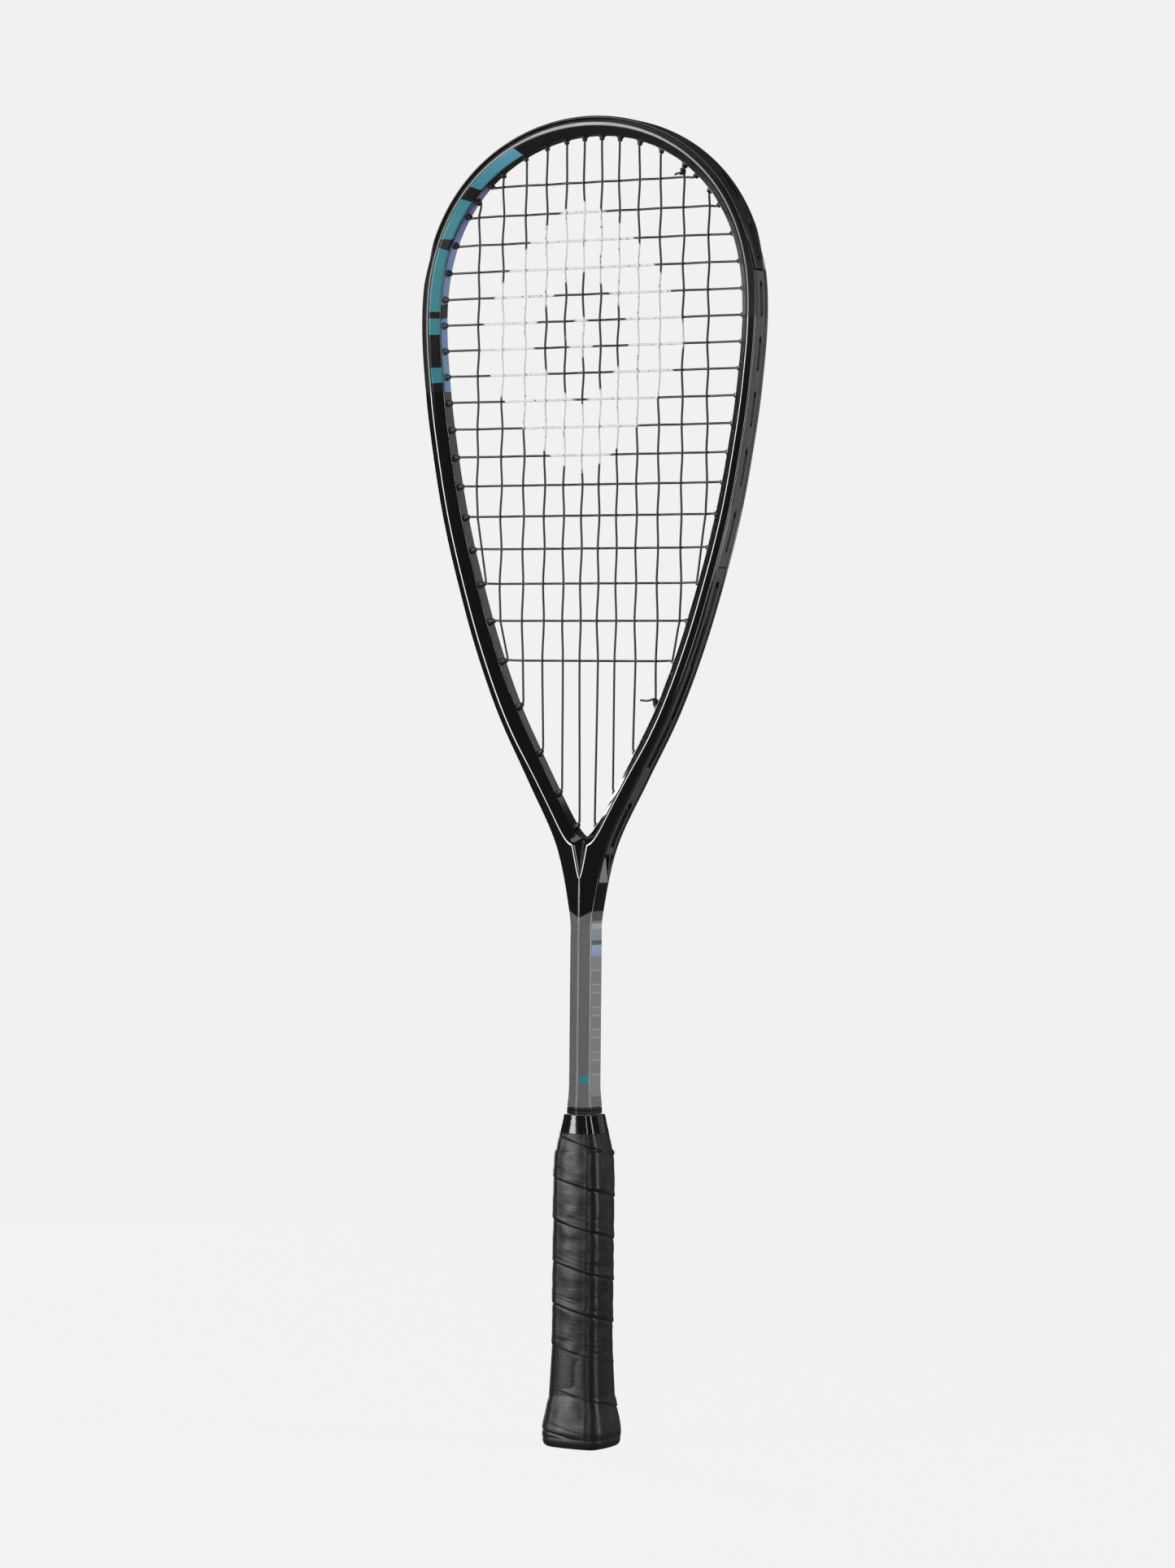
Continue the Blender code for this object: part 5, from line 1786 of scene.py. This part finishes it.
        def ring(grown: float, at: float) -> list[tuple[Vector, float]]:
            ridge = self.plan.beam / 2 + grown * math.hypot(1.0, slope)
            side = self.plan.shaft_width / 2 + grown
            low = ridge - slope * side
            corners = [(0.0, -ridge), (side, -low), (side, low), (0.0, ridge), (-side, low), (-side, -low)]
            return rounded_ring([Vector((x, y, at)) for x, y in corners], [1.2 * MM] * 6, 3)

        profile = [
            (0.3, 0.0), (0.75, 0.0), (0.95, 0.06), (1.0, 0.16), (1.0, 0.42), (0.82, 0.50), (1.0, 0.58),
            (0.98, 0.84), (0.88, 0.95), (0.7, 1.0), (0.3, 1.0),
        ]
        rings = [ring(grown * MM, bottom + height * up) for grown, up in profile]
        bm = swept([*rings, rings[0]], [up for _, up in profile] + [0.0], 6)
        finish = PlainPolymer("satin_rubber_collar", "#111112", 0.38, 1.5 * MM, 0.05 * MM)
        return add_piece("collar_ring", bm, [finish.material()], "collar_rubber", "collar")

    def cap(self) -> bpy.types.Object:
        """The butt cap: a rounded foot with a sunk panel, and its skirt inside the grip."""
        floor, inset = self.cap_floor, self.grip_thickness + self.plan.clearance
        foot = [
            (0.9, -9.0), (0.9, -8.4), (0.15, -7.9), (0.0, -6.8), (0.0, -4.4), (0.12, -3.3), (0.45, -2.2),
            (1.0, -1.25), (1.8, -0.55), (2.8, -0.12), (3.8, 0.0), (5.0, 0.0), (5.5, -0.15),
        ]
        rings = [(up * MM, grown * MM, floor) for up, grown in foot]
        rings += [(5.6 * MM, -inset, floor), *((up * MM, -inset, up * MM) for up in (10.0, 16.0, 22.0, 28.0))]
        rings += [(up * MM, -inset - 1.6 * MM, up * MM) for up in (28.0, 16.0, 5.0)]

        def place(u: float, v: float) -> Vector:
            height, grown, size_height = rings[round(v * (len(rings) - 1))]
            return self.point(u, height, grown, size_height)

        bm = mapped_grid(96, len(rings) - 1, place)
        fill_ends(bm)
        finish = PlainPolymer("grained_cap_plastic", "#232327", 0.42, 0.8 * MM, 0.05 * MM)
        return add_piece("rounded_butt_cap", bm, [finish.material()], "butt_cap_plastic", "butt_cap")

    def inside(self) -> None:
        """Dresses the pieces hidden in the handle: foam with open pores, bright wire staples."""
        foam = PlainPolymer("open_pored_foam", "#4A4A48", 0.9, 0.6 * MM, 0.2 * MM).material()
        staple = PlainPolymer("bright_staple_wire", "#B8B8BA", 0.28, 0.3 * MM, 0.02 * MM, metallic=1.0)
        wire = staple.material()
        for node, finish in (
            ("handle_foam", foam), ("butt_cap_staple_front", wire), ("butt_cap_staple_back", wire)
        ):
            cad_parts[node].material_slots[0].material = finish

    def build(self) -> list[bpy.types.Object]:
        """Makes the handle's pieces.

        Returns:
            The pieces.
        """
        self.inside()
        return [self.collar(), self.tape(), self.grip(), self.cap()]


# ---------------------------------------------------------------- studio


@dataclass
class Studio:
    """The pale floor, the soft lights and the camera."""

    pale: float = 0.879
    ambient: float = 0.05
    azimuth: float = 31.0
    distance: float = 2.504
    height: float = 385.7 * MM
    aim: float = 342.5 * MM
    roll: float = 0.53
    lens: float = 111.4
    sensor: float = 36.0

    def world(self) -> None:
        """A plain pale surround to look at, with only a little of its light falling on the racket."""
        world = bpy.data.worlds.new("pale_surround")
        world.use_nodes = True
        tree = world.node_tree
        tree.nodes.clear()
        path = add_node(tree, "ShaderNodeLightPath")
        seen = add_node(
            tree, "ShaderNodeBackground", {"Color": (self.pale, self.pale, self.pale, 1.0), "Strength": 1.0}
        )
        lit = add_node(
            tree, "ShaderNodeBackground", {"Color": (1.0, 1.0, 1.0, 1.0), "Strength": self.ambient}
        )
        mixed = add_node(
            tree, "ShaderNodeMixShader", None,
            {0: path.outputs["Is Camera Ray"], 1: lit.outputs["Background"], 2: seen.outputs["Background"]},
        )
        add_node(tree, "ShaderNodeOutputWorld", None, {"Surface": mixed.outputs["Shader"]})
        bpy.context.scene.world = world

    def floor(self) -> None:
        """A round pale floor, bright enough in itself to meet the surround without an edge."""
        bm = bmesh.new()
        bmesh.ops.create_circle(bm, cap_ends=True, segments=96, radius=1.1)
        mesh = bpy.data.meshes.new("studio_floor")
        bm.to_mesh(mesh)
        bm.free()
        material, tree, shader = new_material("pale_floor")
        shader.inputs["Base Color"].default_value = (0.02, 0.02, 0.02, 1.0)
        shader.inputs["Roughness"].default_value = 0.9
        shader.inputs["Specular IOR Level"].default_value = 0.0
        shader.inputs["Emission Color"].default_value = (1.0, 1.0, 1.0, 1.0)
        seen = add_node(tree, "ShaderNodeLightPath").outputs["Is Camera Ray"]
        glow = add_node(tree, "ShaderNodeMapRange", {"To Min": 0.08, "To Max": 0.872}, {"Value": seen})
        tree.links.new(glow.outputs["Result"], shader.inputs["Emission Strength"])
        mesh.materials.append(material)
        floor = bpy.data.objects.new("studio_floor", mesh)
        bpy.context.scene.collection.objects.link(floor)

    def light(self, name: str, azimuth: float, distance: float, height: float, size: tuple[float, float],
              power: float) -> None:
        """A rectangular soft light aimed at the racket's middle.

        Args:
            name: Its name.
            azimuth: Degrees from the front towards the right.
            distance: From the racket's axis.
            height: Above the floor.
            size: Its width and height.
            power: In watts.
        """
        data = bpy.data.lights.new(name, "AREA")
        data.shape = "RECTANGLE"
        data.size, data.size_y = size
        data.energy = power
        light = bpy.data.objects.new(name, data)
        turn = math.radians(azimuth)
        light.location = (distance * math.sin(turn), -distance * math.cos(turn), height)
        aim = Vector((0.0, 0.0, 0.36)) - light.location
        light.rotation_euler = aim.to_track_quat("-Z", "Y").to_euler()
        light.visible_camera = False
        bpy.context.scene.collection.objects.link(light)

    def lights(self) -> None:
        """Tall soft boxes that draw the highlights down the ridges and the grip, and an overhead."""
        self.light("left_front_box", -33.0, 1.6, 0.55, (0.5, 1.9), 25.0)
        self.light("right_front_box", 23.0, 1.6, 0.3, (0.18, 1.0), 4.0)
        self.light("right_side_box", 102.0, 1.5, 0.5, (0.4, 1.9), 14.0)
        self.light("left_side_box", -118.0, 1.6, 0.5, (0.35, 1.9), 11.0)
        self.light("back_box", 150.0, 1.8, 0.72, (0.8, 1.1), 0.8)
        self.light("low_back_box", 150.0, 1.79, 0.09, (0.7, 0.17), 0.3)
        self.light("overhead_box", 0.0, 0.35, 1.9, (1.2, 1.2), 4.0)

    def camera(self) -> None:
        """The camera, a little above the racket's middle and turned to the right of the front."""
        data = bpy.data.cameras.new("camera")
        data.sensor_fit = "VERTICAL"
        data.sensor_height = self.sensor
        data.lens = self.lens
        data.clip_start = 0.05
        camera = bpy.data.objects.new("camera", data)
        turn = math.radians(self.azimuth)
        camera.location = (self.distance * math.sin(turn), -self.distance * math.cos(turn), self.height)
        aim = Vector((0.0, 0.0, self.aim)) - camera.location
        camera.rotation_euler = (
            aim.to_track_quat("-Z", "Y").to_matrix() @ Matrix.Rotation(math.radians(self.roll), 3, "Z")
        ).to_euler()
        bpy.context.scene.collection.objects.link(camera)
        bpy.context.scene.camera = camera

    def build(self) -> None:
        """Sets up the picture."""
        bpy.context.scene.view_settings.view_transform = "Standard"
        self.camera()
        self.world()
        self.floor()
        self.lights()


def main() -> None:
    """Builds the studio and every piece of the racket."""
    logging.basicConfig(level=logging.INFO, format="%(message)s")
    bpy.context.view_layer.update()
    Studio().build()
    plan = HeadPlan()
    pattern = StringPattern(plan)
    Frame(plan, pattern).build()
    Grommets(plan, pattern).build()
    StringBed(plan, pattern).build()
    Handle(plan).build()


if __name__ == "__main__":
    main()
